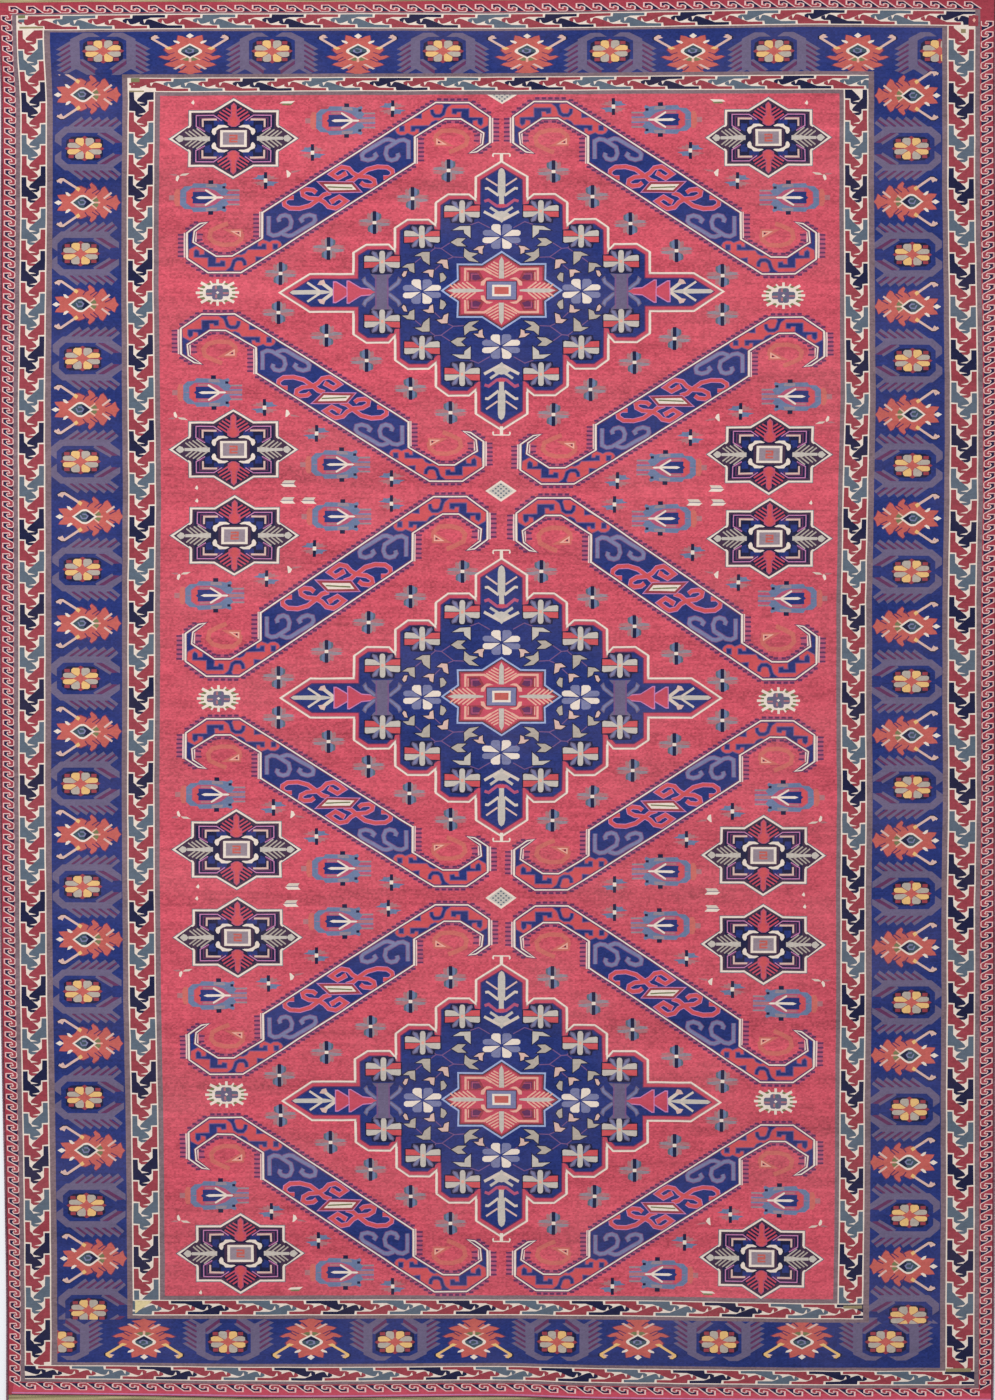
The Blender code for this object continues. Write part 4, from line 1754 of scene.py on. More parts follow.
@dataclass(frozen=True)
class RugPattern:
    """Where the motifs stand on the rug. Places are counted on the rug as it lies, in cells."""

    lay: Lay
    chart: Chart = field(default_factory=Chart)
    bands: Bands = Bands()
    row_reach: float = 0.89
    left_star_width: float = 0.985
    right_star_width: float = 0.955
    scarab_width: float = 0.96
    stretch: float = 1.03

    STARS = (
        (233, 138), (768, 137), (233, 449), (769, 454), (234, 535), (769, 538), (236, 849), (763, 855),
        (237, 937), (763, 944), (240, 1253), (761, 1258),
    )
    SCARABS = (
        (209, 197), (345, 120), (661, 119), (789, 197), (212, 392), (340, 464), (666, 467), (791, 396),
        (341, 516), (661, 518), (214, 595), (787, 598), (215, 794), (341, 868), (661, 871), (784, 797),
        (343, 921), (660, 925), (217, 995), (782, 1003), (219, 1195), (344, 1272), (658, 1274), (780, 1200),
    )
    ROSETTES = ((217, 292), (783, 295), (218, 698), (778, 700), (226, 1094), (775, 1101))
    MEDALLIONS = (
        (501, 290, 0.99, 1.045, ""),
        (501, 696, 1.058, 1.05, "bottom right"),
        (501, 1099, 1.04, 1.03, "right"),
    )
    CORNERS = (
        Corner(
            1, 1, bar=(338, 187), stretch=0.99,
            crosses=((328, 248), (374, 222), (412, 198), (448, 170), (280, 273)),
            small_crosses=((312, 152), (265, 180)), tick=(288, 173), leaf=(183, 176),
        ),
        Corner(
            1, -1, bar=(332, 397), stretch=0.98,
            crosses=((326, 335), (366, 360), (410, 388), (450, 412), (278, 312)),
            small_crosses=((316, 433), (264, 407)), tick=(287, 413), leaf=(181, 416),
        ),
        Corner(
            -1, 1, bar=(664, 187), stretch=1.01,
            crosses=((676, 250), (630, 223), (592, 196), (553, 171), (722, 275)),
            small_crosses=((690, 150), (737, 180)), tick=(716, 172), leaf=(818, 175),
        ),
        Corner(
            -1, -1, bar=(672, 400), stretch=0.97,
            crosses=((674, 338), (634, 362), (590, 389), (553, 414), (722, 314)),
            small_crosses=((690, 437), (740, 411)), tick=(717, 417), leaf=(821, 420),
        ),
        Corner(
            1, 1, bar=(336, 586), stretch=1.05,
            crosses=((326, 651), (368, 622), (410, 596), (462, 571), (278, 677)),
            small_crosses=((314, 548), (266, 578)), tick=(289, 569), leaf=(184, 575),
        ),
        Corner(
            1, -1, bar=(336, 802), stretch=0.98,
            crosses=((328, 741), (368, 766), (409, 793), (450, 819), (278, 717)),
            small_crosses=((316, 836), (273, 807)), tick=(292, 814), leaf=(184, 815),
        ),
        Corner(
            -1, 1, bar=(666, 588), stretch=1.06,
            crosses=((676, 653), (634, 626), (592, 597), (541, 571), (722, 680)),
            small_crosses=((692, 552), (738, 582)), tick=(716, 574), leaf=(818, 575),
        ),
        Corner(
            -1, -1, bar=(664, 805), stretch=0.99,
            crosses=((674, 744), (632, 770), (592, 796), (552, 820), (722, 720)),
            small_crosses=((686, 839), (732, 811)), tick=(709, 818), leaf=(814, 820),
        ),
        Corner(
            1, 1, bar=(338, 989), stretch=0.99,
            crosses=((326, 1052), (370, 1026), (410, 1001), (450, 977), (279, 1075)),
            small_crosses=((316, 955), (268, 983)), tick=(291, 976), leaf=(186, 972),
        ),
        Corner(
            1, -1, bar=(338, 1204), stretch=1.02,
            crosses=((330, 1142), (370, 1169), (410, 1196), (450, 1223), (280, 1115)),
            small_crosses=((318, 1240), (271, 1211)), tick=(294, 1218), leaf=(184, 1219),
        ),
        Corner(
            -1, 1, bar=(664, 993), stretch=1.02,
            crosses=((676, 1056), (632, 1029), (593, 1003), (552, 977), (722, 1081)),
            small_crosses=((686, 958), (732, 989)), tick=(710, 981), leaf=(817, 982),
        ),
        Corner(
            -1, -1, bar=(664, 1207), stretch=0.98,
            crosses=((674, 1145), (634, 1170), (594, 1196), (553, 1223), (721, 1120)),
            small_crosses=((684, 1242), (730, 1214)), tick=(708, 1221), leaf=(814, 1224),
        ),
    )
    SMALL_CROSSES = (
        (392, 108), (613, 106), (391, 478), (391, 503), (617, 480), (614, 504), (391, 882), (388, 908),
        (614, 884), (614, 912), (392, 1286), (612, 1286),
    )
    DASHES = ((286, 102), (718, 100), (294, 1288), (708, 1292))
    DOUBLE_DASHES = (
        (288, 483), (287, 500), (308, 500), (716, 488), (694, 502), (718, 502), (292, 886), (290, 903),
        (712, 891), (712, 908),
    )
    SPECKS = (
        (192, 102), (806, 102), (196, 487), (196, 500), (810, 502), (197, 886), (196, 898), (803, 894),
        (804, 906), (200, 1292),
    )
    FLOWERS_ABOVE = (103, 272, 443, 610, 774, 940)
    PALMETTES_ABOVE = (190, 358, 527, 693, 858)
    FLOWERS_BELOW = (57, 228, 395, 557, 719, 886)
    PALMETTES_BELOW = (144, 311, 474, 638, 802)
    LEFT_FLOWERS = (
        (84, 148), (80, 253), (82, 358), (80, 461), (82, 569), (80, 678), (80, 783), (82, 886), (82, 991),
        (84, 1097), (86, 1205), (88, 1310),
    )
    LEFT_PALMETTES = (
        (82, 94), (82, 202), (80, 304), (80, 409), (84, 516), (82, 623), (82, 731), (82, 834), (84, 939),
        (84, 1043), (86, 1150), (88, 1258),
    )
    RIGHT_FLOWERS = (
        (911, 148), (912, 254), (912, 360), (912, 465), (911, 571), (911, 681), (912, 787), (911, 893),
        (911, 1002), (909, 1109), (909, 1215), (908, 1317),
    )
    RIGHT_PALMETTES = (
        (912, 95), (911, 201), (912, 306), (913, 414), (912, 518), (911, 626), (911, 735), (910, 840),
        (910, 947), (909, 1055), (908, 1162), (908, 1266),
    )
    DIAMONDS = ((501, 491, 15.6, 10.8), (501, 898, 15.6, 10.8), (502, 94.5, 15, 9.5))
    ROW_ABOVE, ROW_BELOW = 51.0, 1342.0
    # Columns: yarn, left, top, right and bottom, on the rug.
    PATCHES = (
        (Yarn.OLIVE, 18, 15.5, 25, 18.5), (Yarn.TEAL, 18.5, 19.5, 24, 22.5),
        (Yarn.OLIVE_PALE, 19.5, 26.5, 43, 28.5), (Yarn.OLIVE, 131, 78, 139.5, 82),
        (Yarn.GUARD_RED, 131, 84.5, 140, 88), (Yarn.OLIVE_PALE, 129, 90.6, 144, 92),
        (Yarn.GUARD_RED, 968.5, 15.5, 978, 26), (Yarn.OLIVE_PALE, 961, 29, 966, 33),
        (Yarn.OLIVE_PALE, 843.5, 1305.6, 862, 1308.6), (Yarn.OLIVE_PALE, 946, 1368.5, 971, 1372),
    )

    def draw(self) -> Chart:
        """Draws the whole pattern.

        Returns:
            The chart with the pattern on it.
        """
        bands = self.bands
        self.draw_grounds(
            (Yarn.RIM_RED, bands.rim), (Yarn.STRIPE, bands.rim_stripe), (Yarn.IVORY, bands.outer_guard),
            (Yarn.STRIPE, bands.outer_stripe), (Yarn.ROYAL_BLUE, bands.blue),
        )
        self.draw_main_border()
        self.draw_grounds(
            (Yarn.STRIPE, bands.inner_stripe), (Yarn.IVORY, bands.inner_guard),
            (Yarn.STRIPE, bands.field_stripe), (Yarn.FIELD_RED, bands.field),
        )
        self.draw_leaf_guards()
        self.draw_rim()
        self.draw_patches()
        self.draw_field()
        return self.chart

    def spot(self, x: float, y: float, across: Point = (1, 0), along: Point = (0, 1)) -> Place:
        """Returns the chart's place for a point counted on the rug."""
        return Place(self.chart, *self.lay.charted(x, y), across, along)

    def cell(self, x: int, y: int, across: Point = (1, 0), along: Point = (0, 1)) -> Place:
        """Returns the chart's place for the middle of a cell of the rug."""
        return self.spot(x + 0.5, y + 0.5, across, along)

    def draw_grounds(self, *grounds: tuple[Yarn, Window]) -> None:
        """Draws grounds, each over the one before.

        Args:
            grounds: the yarn and extent of each.
        """
        for yarn, ground in grounds:
            Place(self.chart).fill(yarn, ground.outline())

    def draw_main_border(self) -> None:
        """Draws the palmettes and flowers of the blue border."""
        flat, wide = 1 / KNOT_ASPECT, KNOT_ASPECT
        blue, stripe = self.bands.blue, self.bands.inner_stripe
        self.chart.window = blue
        for row, inwards, flowers, palmettes, cane in (
            (self.ROW_ABOVE, flat, self.FLOWERS_ABOVE, self.PALMETTES_ABOVE, Yarn.CREAM_PINK),
            (self.ROW_BELOW, -flat, self.FLOWERS_BELOW, self.PALMETTES_BELOW, Yarn.YELLOW),
        ):
            for x in flowers:
                BorderFlower(self.spot(x, row, (0, inwards), (-wide, 0)), self.row_reach).draw()
            for x in palmettes:
                BorderPalmette(self.spot(x, row, (0, inwards), (wide, 0)), cane).draw()
        self.chart.window = Window(blue.left, stripe.top, blue.right, stripe.bottom + 1)
        for way, flowers, palmettes in (
            (1, self.LEFT_FLOWERS, self.LEFT_PALMETTES), (-1, self.RIGHT_FLOWERS, self.RIGHT_PALMETTES),
        ):
            for x, y in flowers:
                BorderFlower(self.cell(x, y, (way, 0))).draw()
            for x, y in palmettes:
                BorderPalmette(self.cell(x, y, (way, 0), (0, self.stretch))).draw()
        self.chart.window = None

    def draw_leaf_guards(self) -> None:
        """Draws the two leaf guards, a run for each side of each."""
        guard, stripe = self.bands.outer_guard, self.bands.outer_stripe
        inner, ground = self.bands.inner_guard, self.bands.field_stripe
        runs = (
            GuardRun(
                True, ((0, 49), (11, 281), (22, 518), (35, 795), (50, 1112), (61, 1351)), range(0, 63),
                Window(guard.left, stripe.top, stripe.left, stripe.bottom), -10.7, RED_TEAL_RED_NAVY, slip=39,
            ),
            GuardRun(
                True, ((0, 38.5), (10, 252), (20, 467), (28, 638), (43, 960), (61, 1346)), range(0, 63),
                Window(stripe.right, stripe.top, guard.right, stripe.bottom), 10.7, RED_TEAL_RED_NAVY,
                slip=41,
            ),
            GuardRun(
                True, ((0, 110.7), (11, 344), (21, 558), (33, 815), (45, 1071), (55, 1289)), range(0, 57),
                Window(inner.left, ground.top, ground.left, ground.bottom), -10.9, NAVY_RED_TEAL_RED, slip=36,
            ),
            GuardRun(
                True, ((-1, 120), (11, 382), (19, 548.8), (29, 769), (41, 1026), (53, 1286)), range(-2, 55),
                Window(ground.right, ground.top, inner.right, ground.bottom), 10.8, TEAL_RED_NAVY_RED,
                slip=36,
            ),
            GuardRun(
                False, ((0, 27), (6, 237), (12, 443), (20, 714), (28, 979)), range(0, 29),
                Window(guard.left, guard.top, guard.right, stripe.top), 17.0, RED_TEAL_RED_NAVY, way=-1,
            ),
            GuardRun(
                False, ((0, 36.2), (5, 205), (12, 441), (19, 671), (27, 943)), range(0, 29),
                Window(guard.left, stripe.bottom, guard.right, guard.bottom), 16.7, NAVY_RED_TEAL_RED,
            ),
            GuardRun(
                False, ((0, 138.5), (5, 311), (11, 514), (16, 684), (21, 849)), range(0, 22),
                Window(inner.left, inner.top, inner.right, ground.top), 17.0, RED_TEAL_RED_NAVY, way=-1,
            ),
            GuardRun(
                False, ((-1, 169), (4, 338), (8, 470), (14, 670), (19, 835)), range(-2, 21),
                Window(inner.left, ground.bottom, inner.right, inner.bottom), 17.0, NAVY_RED_TEAL_RED,
            ),
        )
        for run in runs:
            run.draw(self.chart, self.lay)

    def draw_rim(self) -> None:
        """Draws the bright rows of the lower rim and the running hooks of all four sides."""
        rim, hooks, flat = self.bands.rim, self.bands.rim_stripe, 1 / KNOT_ASPECT
        start = rim.left + 4
        Place(self.chart).fill(Yarn.BRIGHT_RED, [
            (8, 1383), (16, 1389.6), (rim.right, 1389.6), (rim.right, rim.bottom), (start, rim.bottom),
        ])
        for yarn, depth in ((Yarn.LILAC, 2.4), (Yarn.DARK_BROWN, 0.6)):
            row = rim.bottom - depth
            Place(self.chart).band(yarn, [(start, row), (rim.right, row)], 1.2)
        runs = (
            HookRun(
                True, ((-18, 20.5), (-12, 84), (0, 210.3), (105, 1308.5), (112, 1379.4)), range(-18, 113),
                hooks.right + 0.4, (1, 0),
            ),
            HookRun(
                True, ((-19, 14.8), (0, 210.0), (105, 1301.5), (112, 1375.9)), range(-19, 113),
                hooks.left + 0.6, (-1, 0),
            ),
            HookRun(
                False, ((0, 25.8), (5, 113.2), (24, 441.7), (27, 490.9), (50, 879.1), (55, 963.8)),
                range(-1, 56), hooks.top, (0, -flat),
            ),
            HookRun(
                False, ((0, 36.2), (5, 121.7), (48, 873.5), (54, 980)), range(0, 55),
                hooks.bottom + 0.4, (0, flat), way=-1,
            ),
        )
        for run in runs:
            run.draw(self.chart, self.lay)

    def draw_patches(self) -> None:
        """Draws the odd patches where the guards meet at the corners."""
        for yarn, left, top, right, bottom in self.PATCHES:
            middle = self.spot((left + right) / 2, (top + bottom) / 2)
            middle.box(yarn, (right - left) / 2, (bottom - top) / 2)
        self.spot(974, 20).diamond(Yarn.PEACH_CREAM, 1.6, 2.4)
        wedge = [(0, 0), (17, 0.6), (14, 3.5), (4, 10), (1, 13), (0, 13)]
        self.spot(135, 1300.5).fill(Yarn.YELLOW_PALE, wedge)

    def draw_corner(self, corner: Corner) -> None:
        """Draws the hooked bar, the cross flowers and the ticks round a corner of a medallion.

        Args:
            corner: where they stand.
        """
        across, along = (corner.across, 0), (0, corner.along)
        HookedBar(self.cell(*corner.bar, across, (0, corner.along * corner.stretch))).draw()
        for x, y in corner.crosses:
            CrossFlower(self.cell(x, y, across, along)).draw()
        for x, y in corner.small_crosses:
            SmallCross(self.cell(x, y, across, along)).draw()
        Tick(self.cell(*corner.tick, across, along)).draw()
        Tick(self.cell(*corner.leaf, across, along), dash=True).draw()

    def draw_field(self) -> None:
        """Draws the medallions and all that is round them."""
        middle = 500
        for corner in self.CORNERS:
            self.draw_corner(corner)
        for x, y, upper, lower, mirrored in self.MEDALLIONS:
            Medallion(self.cell(x, y), upper, lower, mirrored).draw()
        for x, y in self.STARS:
            width = self.left_star_width if x < middle else self.right_star_width
            FieldStar(self.cell(x, y, (width, 0))).draw()
        for x, y in self.SCARABS:
            width = self.scarab_width if x < middle else -self.scarab_width
            ScarabPalmette(self.cell(x, y, (width, 0), (0, self.stretch))).draw()
        for x, y in self.SMALL_CROSSES:
            SmallCross(self.cell(x, y, (1 if x < middle else -1, 0))).draw()
        for dashes, double in ((self.DASHES, False), (self.DOUBLE_DASHES, True)):
            for x, y in dashes:
                Dash(self.cell(x, y, (1 if x < middle else -1, 0)), double).draw()
        for x, y in self.SPECKS:
            self.cell(x, y).fill(Yarn.IVORY, [(0.6, -2.4), (1.8, 0.4), (0.8, 2.2), (-1.8, 0.6)])
        for x, y in self.ROSETTES:
            Rosette(self.cell(x, y)).draw()
        self.chart.window = self.bands.field
        for x, y, half_width, half_height in self.DIAMONDS:
            SeedDiamond(self.spot(x, y), half_width, half_height).draw()
        self.chart.window = None


def pick(piece: bpy.types.Object) -> None:
    """Selects a piece alone, for the tools that work on what is selected.

    Args:
        piece: the piece.
    """
    bpy.ops.object.select_all(action="DESELECT")
    piece.select_set(True)
    bpy.context.view_layer.objects.active = piece


def shade(piece: bpy.types.Object, angle: float) -> None:
    """Shades a piece smoothly, with edges kept where it turns sharply.

    Args:
        piece: the piece.
        angle: the turn past which an edge stays sharp, in radians.
    """
    pick(piece)
    bpy.ops.object.shade_smooth_by_angle(angle=angle)
    piece.select_set(False)


def apply_modifiers(piece: bpy.types.Object) -> None:
    """Applies every modifier on a piece, in order.

    Args:
        piece: the piece.
    """
    pick(piece)
    for modifier in list(piece.modifiers):
        bpy.ops.object.modifier_apply(modifier=modifier.name)
    piece.select_set(False)


def add_grid(name: str, columns: int, rows: int) -> bpy.types.Object:
    """Adds a flat grid of one metre to be laid out by a cloth piece.

    Args:
        name: the piece's name.
        columns: faces across.
        rows: faces along.

    Returns:
        The grid, at the origin.
    """
    bpy.ops.object.select_all(action="DESELECT")
    bpy.ops.mesh.primitive_grid_add(x_subdivisions=columns, y_subdivisions=rows, size=1.0, location=(0, 0, 0))
    piece = bpy.context.active_object
    piece.name = name
    piece.data.name = name
    return piece


@dataclass
class PileStrip:
    """One lengthwise strip of the knotted pile, cut from the chart as a closed slab."""

    name: str
    first: float
    last: float
    folds: int
    lay: Lay
    foot: float = 0.0027
    pitch: float = 20.0
    rim_steps: tuple[float, ...] = (0.12, 0.4, 1.0)
    shade_angle: float = 0.7
    map_margin: float = 0.004
    map_slack: float = 0.006

    def spread(self, low: float, high: float) -> list[float]:
        """Spreads lines from rim to rim, close together at the rounded rims and evenly apart between them.

        Args:
            low: the first rim.
            high: the last rim.

        Returns:
            Where the lines lie.
        """
        rims = [low + depth for depth in self.rim_steps]
        rims += [high - depth for depth in reversed(self.rim_steps)]
        return rims + [self.pitch * n for n in range(1, math.ceil(high / self.pitch))]

    def guide_lines(self) -> Iterator[tuple[Point, Point]]:
        """Yields the lines that let the strip follow the lay, the rounded rim and the folds of its map.

        Yields:
            The two ends of a line, on the chart.
        """
        reach = 3.0
        for row in self.spread(RIM_TOP, RIM_BOTTOM) + [self.fold_row(n) for n in range(1, self.folds)]:
            yield (self.first - reach, row), (self.last + reach, row)
        for column in self.spread(RIM_LEFT, RIM_RIGHT):
            if self.first < column < self.last:
                yield (column, RIM_TOP - reach), (column, RIM_BOTTOM + reach)

    def fold_row(self, number: int) -> float:
        """Returns the row where a part of the map ends and the next begins."""
        return RIM_TOP + (RIM_BOTTOM - RIM_TOP) * number / self.folds

    def cut(self, chart: Chart) -> tuple[list[Point], list[tuple[int, ...]], list[Yarn]]:
        """Cuts the strip out of the chart.

        Args:
            chart: the finished chart.

        Returns:
            The points on the chart, the faces between them and each face's yarn.
        """
        shapes = [
            (yarn, shape) for yarn, shape in chart.shapes
            if max(x for x, _ in shape) > self.first and min(x for x, _ in shape) < self.last
        ]
        coordinates: list[Vector] = []
        rings: list[list[int]] = []
        outline = Window(self.first, RIM_TOP, self.last, RIM_BOTTOM).outline()
        for shape in (outline, *(shape for _, shape in shapes)):
            shape = anticlockwise(shape)
            start = len(coordinates)
            coordinates.extend(Vector(point) for point in shape)
            rings.append(list(range(start, len(coordinates))))
        lines = []
        for one, other in self.guide_lines():
            lines.append((len(coordinates), len(coordinates) + 1))
            coordinates.extend((Vector(one), Vector(other)))
        inside_only, closeness = 1, 1e-5
        cut = delaunay_2d_cdt(coordinates, lines, rings, inside_only, closeness, True)
        points, _, faces, _, _, owners = cut
        kept, yarns = [], []
        for face, owner in zip(faces, owners):
            if 0 in owner and len(owner) > 1:
                kept.append(tuple(face))
                yarns.append(shapes[max(owner) - 1][0])
        return [(point.x, point.y) for point in points], kept, yarns

    def close(self, faces: list[tuple[int, ...]], rows: int) -> list[tuple[int, ...]]:
        """Makes the walls and the underside that close the strip.

        Args:
            faces: the faces on top.
            rows: how many points there are on top; the point below each has that much added.

        Returns:
            The faces of the walls and of the underside.
        """
        ways = {(a, b) for face in faces for a, b in zip(face, face[1:] + face[:1])}
        after = {a: b for a, b in ways if (b, a) not in ways}
        start = min(after)
        ring = [start]
        while after[ring[-1]] != start:
            ring.append(after[ring[-1]])
        walls = [(a, a + rows, after[a] + rows, after[a]) for a in ring]
        return walls + [tuple(point + rows for point in reversed(ring))]

    def make(self, chart: Chart, wardrobe: Wardrobe) -> bpy.types.Object:
        """Builds the strip as one closed mesh with a yarn for each face.

        Args:
            chart: the finished chart.
            wardrobe: where the finishes hang.

        Returns:
            The finished piece.
        """
        points, faces, yarns = self.cut(chart)
        used = sorted({point for face in faces for point in face})
        number = {point: i for i, point in enumerate(used)}
        faces = [tuple(number[point] for point in face) for face in faces]
        places = [self.lay.point(*points[point]) for point in used]
        first = faces[0]
        turn = (places[first[1]] - places[first[0]]).cross(places[first[2]] - places[first[0]]).z
        if turn < 0:
            faces = [tuple(reversed(face)) for face in faces]
        feet = [Vector((place.x, place.y, self.foot)) for place in places]
        closing = self.close(faces, len(places))
        mesh = bpy.data.meshes.new(self.name)
        mesh.from_pydata([*places, *feet], [], [*faces, *closing])
        palette = sorted(set(yarns), key=lambda yarn: yarn.name)
        for yarn in palette:
            mesh.materials.append(wardrobe.wool(yarn.name.lower(), yarn.value))
        indices = [palette.index(yarn) for yarn in yarns] + [palette.index(Yarn.RIM_RED)] * len(closing)
        mesh.polygons.foreach_set("material_index", indices)
        piece = bpy.data.objects.new(self.name, mesh)
        bpy.context.collection.objects.link(piece)
        self.drop_loose(mesh)
        self.map_strip(mesh)
        shade(piece, self.shade_angle)
        return piece

    def drop_loose(self, mesh: bpy.types.Mesh) -> None:
        """Takes away the points below the strip that no face uses.

        Args:
            mesh: the strip's mesh.
        """
        cleaner = bmesh.new()
        cleaner.from_mesh(mesh)
        loose = [point for point in cleaner.verts if not point.link_faces]
        bmesh.ops.delete(cleaner, geom=loose, context="VERTS")
        cleaner.to_mesh(mesh)
        cleaner.free()

    def map_strip(self, mesh: bpy.types.Mesh) -> None:
        """Lays the strip on its map, folded so that it fills the square.

        Args:
            mesh: the strip's mesh.
        """
        sheet_map = mesh.uv_layers.new(name="OFBake")
        low = min(point.co.x for point in mesh.vertices)
        width = max(point.co.x for point in mesh.vertices) - low
        part, margin, slack = 1.0 / self.folds, self.map_margin, self.map_slack
        height = (RIM_BOTTOM - RIM_TOP) * CELL * part
        for face in mesh.polygons:
            row = MIDDLE_ROW - face.center.y / CELL
            fold = min(self.folds - 1, max(0, int((row - RIM_TOP) * self.folds / (RIM_BOTTOM - RIM_TOP))))
            start = (MIDDLE_ROW - self.fold_row(fold)) * CELL
            for loop in face.loop_indices:
                spot = mesh.vertices[mesh.loops[loop].vertex_index].co
                across = (spot.x - low) / width
                along = (start - spot.y + slack) / (height + 2 * slack)
                u = part * (fold + margin + (1 - 2 * margin) * across)
                sheet_map.data[loop].uv = (u, min(max(along, 0.0), 1.0))


@dataclass(frozen=True)
class Backing:
    """The woven cotton and wool ground under the knots, one flat sheet."""

    lay: Lay
    thickness: float = 0.0024
    inset: float = 0.0012
    columns: int = 40
    rows: int = 56

    def make(self, wardrobe: Wardrobe) -> bpy.types.Object:
        """Builds the sheet under the pile.

        Args:
            wardrobe: where the finishes hang.

        Returns:
            The finished piece.
        """
        piece = add_grid("ground_weave", self.columns, self.rows)
        for point in piece.data.vertices:
            x = RIM_LEFT + (point.co.x + 0.5) * (RIM_RIGHT - RIM_LEFT)
            y = RIM_TOP + (0.5 - point.co.y) * (RIM_BOTTOM - RIM_TOP)
            spot = self.lay.point(x, y)
            inwards = 1 - self.inset
            point.co = Vector((spot.x * inwards, spot.y * inwards, self.thickness))
        body = piece.modifiers.new("thickness", "SOLIDIFY")
        body.thickness = self.thickness
        body.offset = -1.0
        apply_modifiers(piece)
        piece.data.materials.append(wardrobe.kilim("underside"))
        return piece


@dataclass(frozen=True)
class Selvedge:
    """An overcast side cord: wool wrapped round the outer warps along a long side."""

    side: int
    lay: Lay
    wrap: float = 0.0065
    steps: int = 4
    ring: int = 8
    height: float = 0.006
    swell: float = 0.0005
    lean: float = 0.16
    drift: float = 0.035
    drifts_a_metre: float = 21
    seam: float = 0.00002

    def make(self, wardrobe: Wardrobe) -> bpy.types.Object:
        """Builds the cord from a cylinder, bent along the side and pressed into wraps.

        Args:
            wardrobe: where the finishes hang.

        Returns:
            The finished piece.
        """
        name = "selvedge_cord_left" if self.side == LEFT else "selvedge_cord_right"
        inwards = 1 if self.side == LEFT else -1
        upper = read_edge(ENDS, UPPER, -inwards) + JOIN_GAP + KILIM_WIDTH
        lower = read_edge(ENDS, LOWER, -inwards) - JOIN_GAP - KILIM_WIDTH
        count = round((upper - lower) / self.wrap) * self.steps
        piece = add_grid(name, count, self.ring)
        half = SELVEDGE_WIDTH / 2
        for point in piece.data.vertices:
            share, turn = point.co.x + 0.5, (point.co.y + 0.5) * math.tau
            y = lower + (upper - lower) * share
            along = share * count / self.steps + self.lean * math.cos(turn)
            swell = self.swell * abs(math.sin(math.pi * along)) - self.swell
            radius = 1.0 + self.drift * noise.noise(Vector((y * self.drifts_a_metre, 0.0, float(self.side))))
            middle = read_edge(SIDES, self.side, y) + inwards * half
            x = middle + (half + swell) * radius * math.cos(turn)
            z = self.height / 2 + (self.height / 2 + swell) * radius * math.sin(turn)
            point.co = Vector((x, y, max(z, 0.0)))
        self.close(piece)
        piece.data.materials.append(wardrobe.wool("selvedge", SELVEDGE_WOOL))
        shade(piece, 1.0)
        return piece

    def close(self, piece: bpy.types.Object) -> None:
        """Joins the seam of the cord and caps its two ends.

        Args:
            piece: the cord.
        """
        pick(piece)
        bpy.ops.object.mode_set(mode="EDIT")
        bpy.ops.mesh.select_all(action="SELECT")
        bpy.ops.mesh.remove_doubles(threshold=self.seam)
        bpy.ops.mesh.select_all(action="DESELECT")
        bpy.ops.mesh.select_non_manifold(extend=False)
        bpy.ops.mesh.fill_holes(sides=0)
        bpy.ops.mesh.select_all(action="SELECT")
        bpy.ops.mesh.normals_make_consistent(inside=False)
        bpy.ops.object.mode_set(mode="OBJECT")


@dataclass(frozen=True)
class KilimEnd:
    """A flat-woven end strip of thick weft rows beyond the pile."""

    end: int
    rows: int = 9
    steps: int = 4
    columns: int = 160
    rib: float = 0.0007
    unevenness: float = 0.0003
    rim_dip: float = 0.0006
    body: float = 0.8

    def make(self, wardrobe: Wardrobe) -> bpy.types.Object:
        """Builds the strip from a grid, ribbed along the weft.

        Args:
            wardrobe: where the finishes hang.

        Returns:
            The finished piece.
        """
        name = "kilim_strip_upper" if self.end == UPPER else "kilim_strip_lower"
        piece = add_grid(name, self.columns, self.rows * self.steps)
        outwards = 1 if self.end == UPPER else -1
        tip = 1.4 * outwards
        inset = SELVEDGE_WIDTH + JOIN_GAP
        left = read_edge(SIDES, LEFT, tip) + inset
        right = read_edge(SIDES, RIGHT, tip) - inset
        for point in piece.data.vertices:
            across, share = point.co.x + 0.5, point.co.y + 0.5
            x = left + (right - left) * across
            reach = JOIN_GAP + KILIM_WIDTH * (share if outwards > 0 else 1 - share)
            y = read_edge(ENDS, self.end, x) + outwards * reach
            row = share * self.rows
            rib = self.rib * (1 - abs(math.sin(math.pi * row)))
            lift = self.unevenness * noise.noise(Vector((x * 40, row * 0.8, 2.0)))
            rim = min(share, 1 - share, across, 1 - across)
            dip = self.rim_dip if rim < 0.001 else 0.0
            point.co = Vector((x, y, KILIM_THICKNESS - rib + lift - dip))
        body = piece.modifiers.new("thickness", "SOLIDIFY")
        body.thickness = KILIM_THICKNESS * self.body
        body.offset = -1.0
        body.use_even_offset = False
        apply_modifiers(piece)
        for point in piece.data.vertices:
            point.co.z = max(point.co.z, 0.0)
        piece.data.materials.append(wardrobe.kilim("kilim end"))
        shade(piece, 1.0)
        return piece


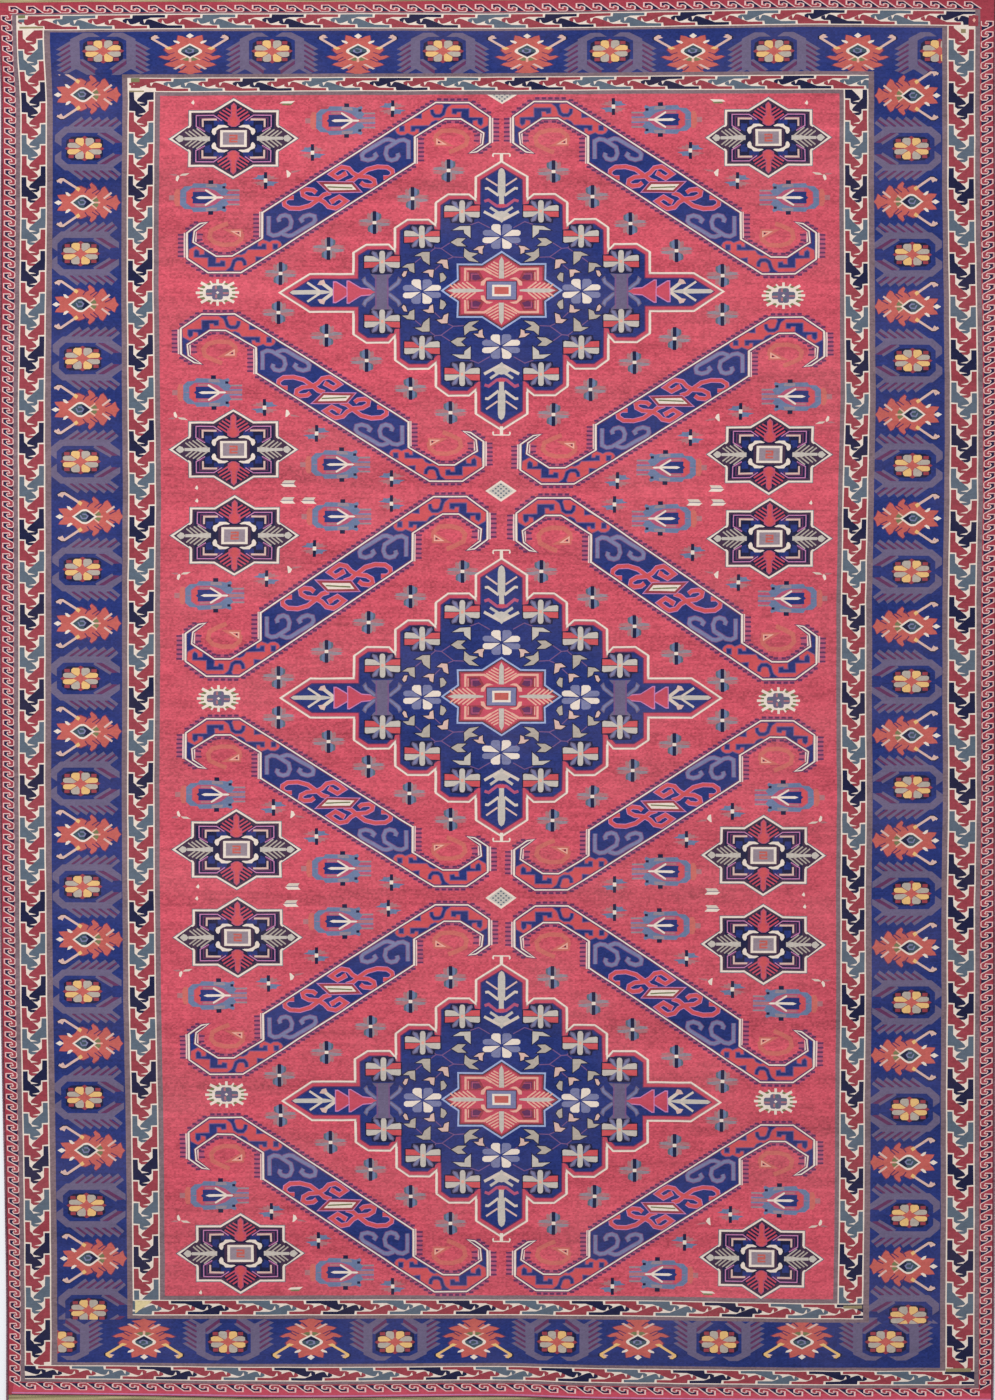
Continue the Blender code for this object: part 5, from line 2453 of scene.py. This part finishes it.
@dataclass
class ShirvanRug:
    """The whole rug: pile strips on their ground weave, two side cords and two flat-woven ends."""

    lay: Lay = Lay()
    wardrobe: Wardrobe = field(default_factory=Wardrobe)

    def keep(self, piece: bpy.types.Object, node: str) -> bpy.types.Object:
        """Puts a finished piece on the part.

        Args:
            piece: the piece.
            node: the solid that it stands for.

        Returns:
            The same piece.
        """
        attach(piece, "root")
        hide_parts(node)
        triangles = sum(len(face.vertices) - 2 for face in piece.data.polygons)
        log.info("%s: %d triangles", piece.name, triangles)
        return piece

    def make(self) -> None:
        """Builds every piece of the rug."""
        chart = RugPattern(self.lay).draw()
        log.info("chart: %d shapes", len(chart.shapes))
        field_left, field_middle, field_right = 160.0, 500.0, 839.0
        strips = (
            ("pile_border_left", RIM_LEFT, field_left, 3),
            ("pile_field_left", field_left, field_middle, 2),
            ("pile_field_right", field_middle, field_right, 2),
            ("pile_border_right", field_right, RIM_RIGHT, 3),
        )
        for name, first, last, folds in strips:
            strip = PileStrip(name, first, last, folds, self.lay)
            self.keep(strip.make(chart, self.wardrobe), "pile_body")
        backing = self.keep(Backing(self.lay).make(self.wardrobe), "pile_body")
        for side, node in ((LEFT, "selvedge_left"), (RIGHT, "selvedge_right")):
            self.keep(Selvedge(side, self.lay).make(self.wardrobe), node)
        for end, node in ((UPPER, "kilim_end_upper"), (LOWER, "kilim_end_lower")):
            self.keep(KilimEnd(end).make(self.wardrobe), node)


@dataclass
class Studio:
    """The pale floor, soft light and overhead camera of the photograph."""

    rug_length: float = 2.80
    lens: float = 60.0
    sensor: float = 36.0
    pile_top: float = 0.008
    floor_size: float = 14.0
    floor_depth: float = 0.0005
    lamp_size: tuple[float, float] = (4.0, 5.0)
    lamp_power: float = 170.0
    lamp_place: tuple[float, float, float] = (-1.0, 1.2, 4.2)
    lamp_turn: tuple[float, float, float] = (-0.24, -0.2, 0.0)
    glow: float = 0.6

    def make(self) -> None:
        """Builds the studio round the rug."""
        self.make_floor()
        self.make_light()
        self.make_camera()
        bpy.context.scene.view_settings.view_transform = "Standard"

    def make_floor(self) -> None:
        """Lays the plain pale floor."""
        floor = add_grid("floor", 4, 4)
        for point in floor.data.vertices:
            point.co = Vector((point.co.x * self.floor_size, point.co.y * self.floor_size, -self.floor_depth))
        material = bpy.data.materials.new("pale floor")
        material.use_nodes = True
        shader = material.node_tree.nodes["Principled BSDF"]
        shader.inputs["Base Color"].default_value = (0.80, 0.81, 0.84, 1.0)
        shader.inputs["Roughness"].default_value = 0.9
        floor.data.materials.append(material)

    def make_light(self) -> None:
        """Sets a wide soft light above and an even glow round it."""
        lamp = bpy.data.lights.new("softbox", "AREA")
        lamp.shape = "RECTANGLE"
        lamp.size, lamp.size_y = self.lamp_size
        lamp.energy = self.lamp_power
        above = bpy.data.objects.new("softbox", lamp)
        above.location = self.lamp_place
        above.rotation_euler = self.lamp_turn
        bpy.context.collection.objects.link(above)
        world = bpy.data.worlds.new("studio")
        bpy.context.scene.world = world
        world.use_nodes = True
        glow = world.node_tree.nodes["Background"]
        glow.inputs["Color"].default_value = (1.0, 1.0, 1.0, 1.0)
        glow.inputs["Strength"].default_value = self.glow

    def make_camera(self) -> None:
        """Hangs the camera straight above the middle of the rug."""
        lens = bpy.data.cameras.new("camera")
        lens.lens = self.lens
        lens.sensor_width = self.sensor
        lens.sensor_fit = "AUTO"
        camera = bpy.data.objects.new("camera", lens)
        camera.location = (0.0, 0.0, self.pile_top + self.rug_length * self.lens / self.sensor)
        bpy.context.collection.objects.link(camera)
        bpy.context.scene.camera = camera


def main() -> None:
    """Builds the rug and the studio in order."""
    logging.basicConfig(level=logging.INFO, format="%(message)s")
    ShirvanRug().make()
    Studio().make()


if __name__ == "__main__":
    main()
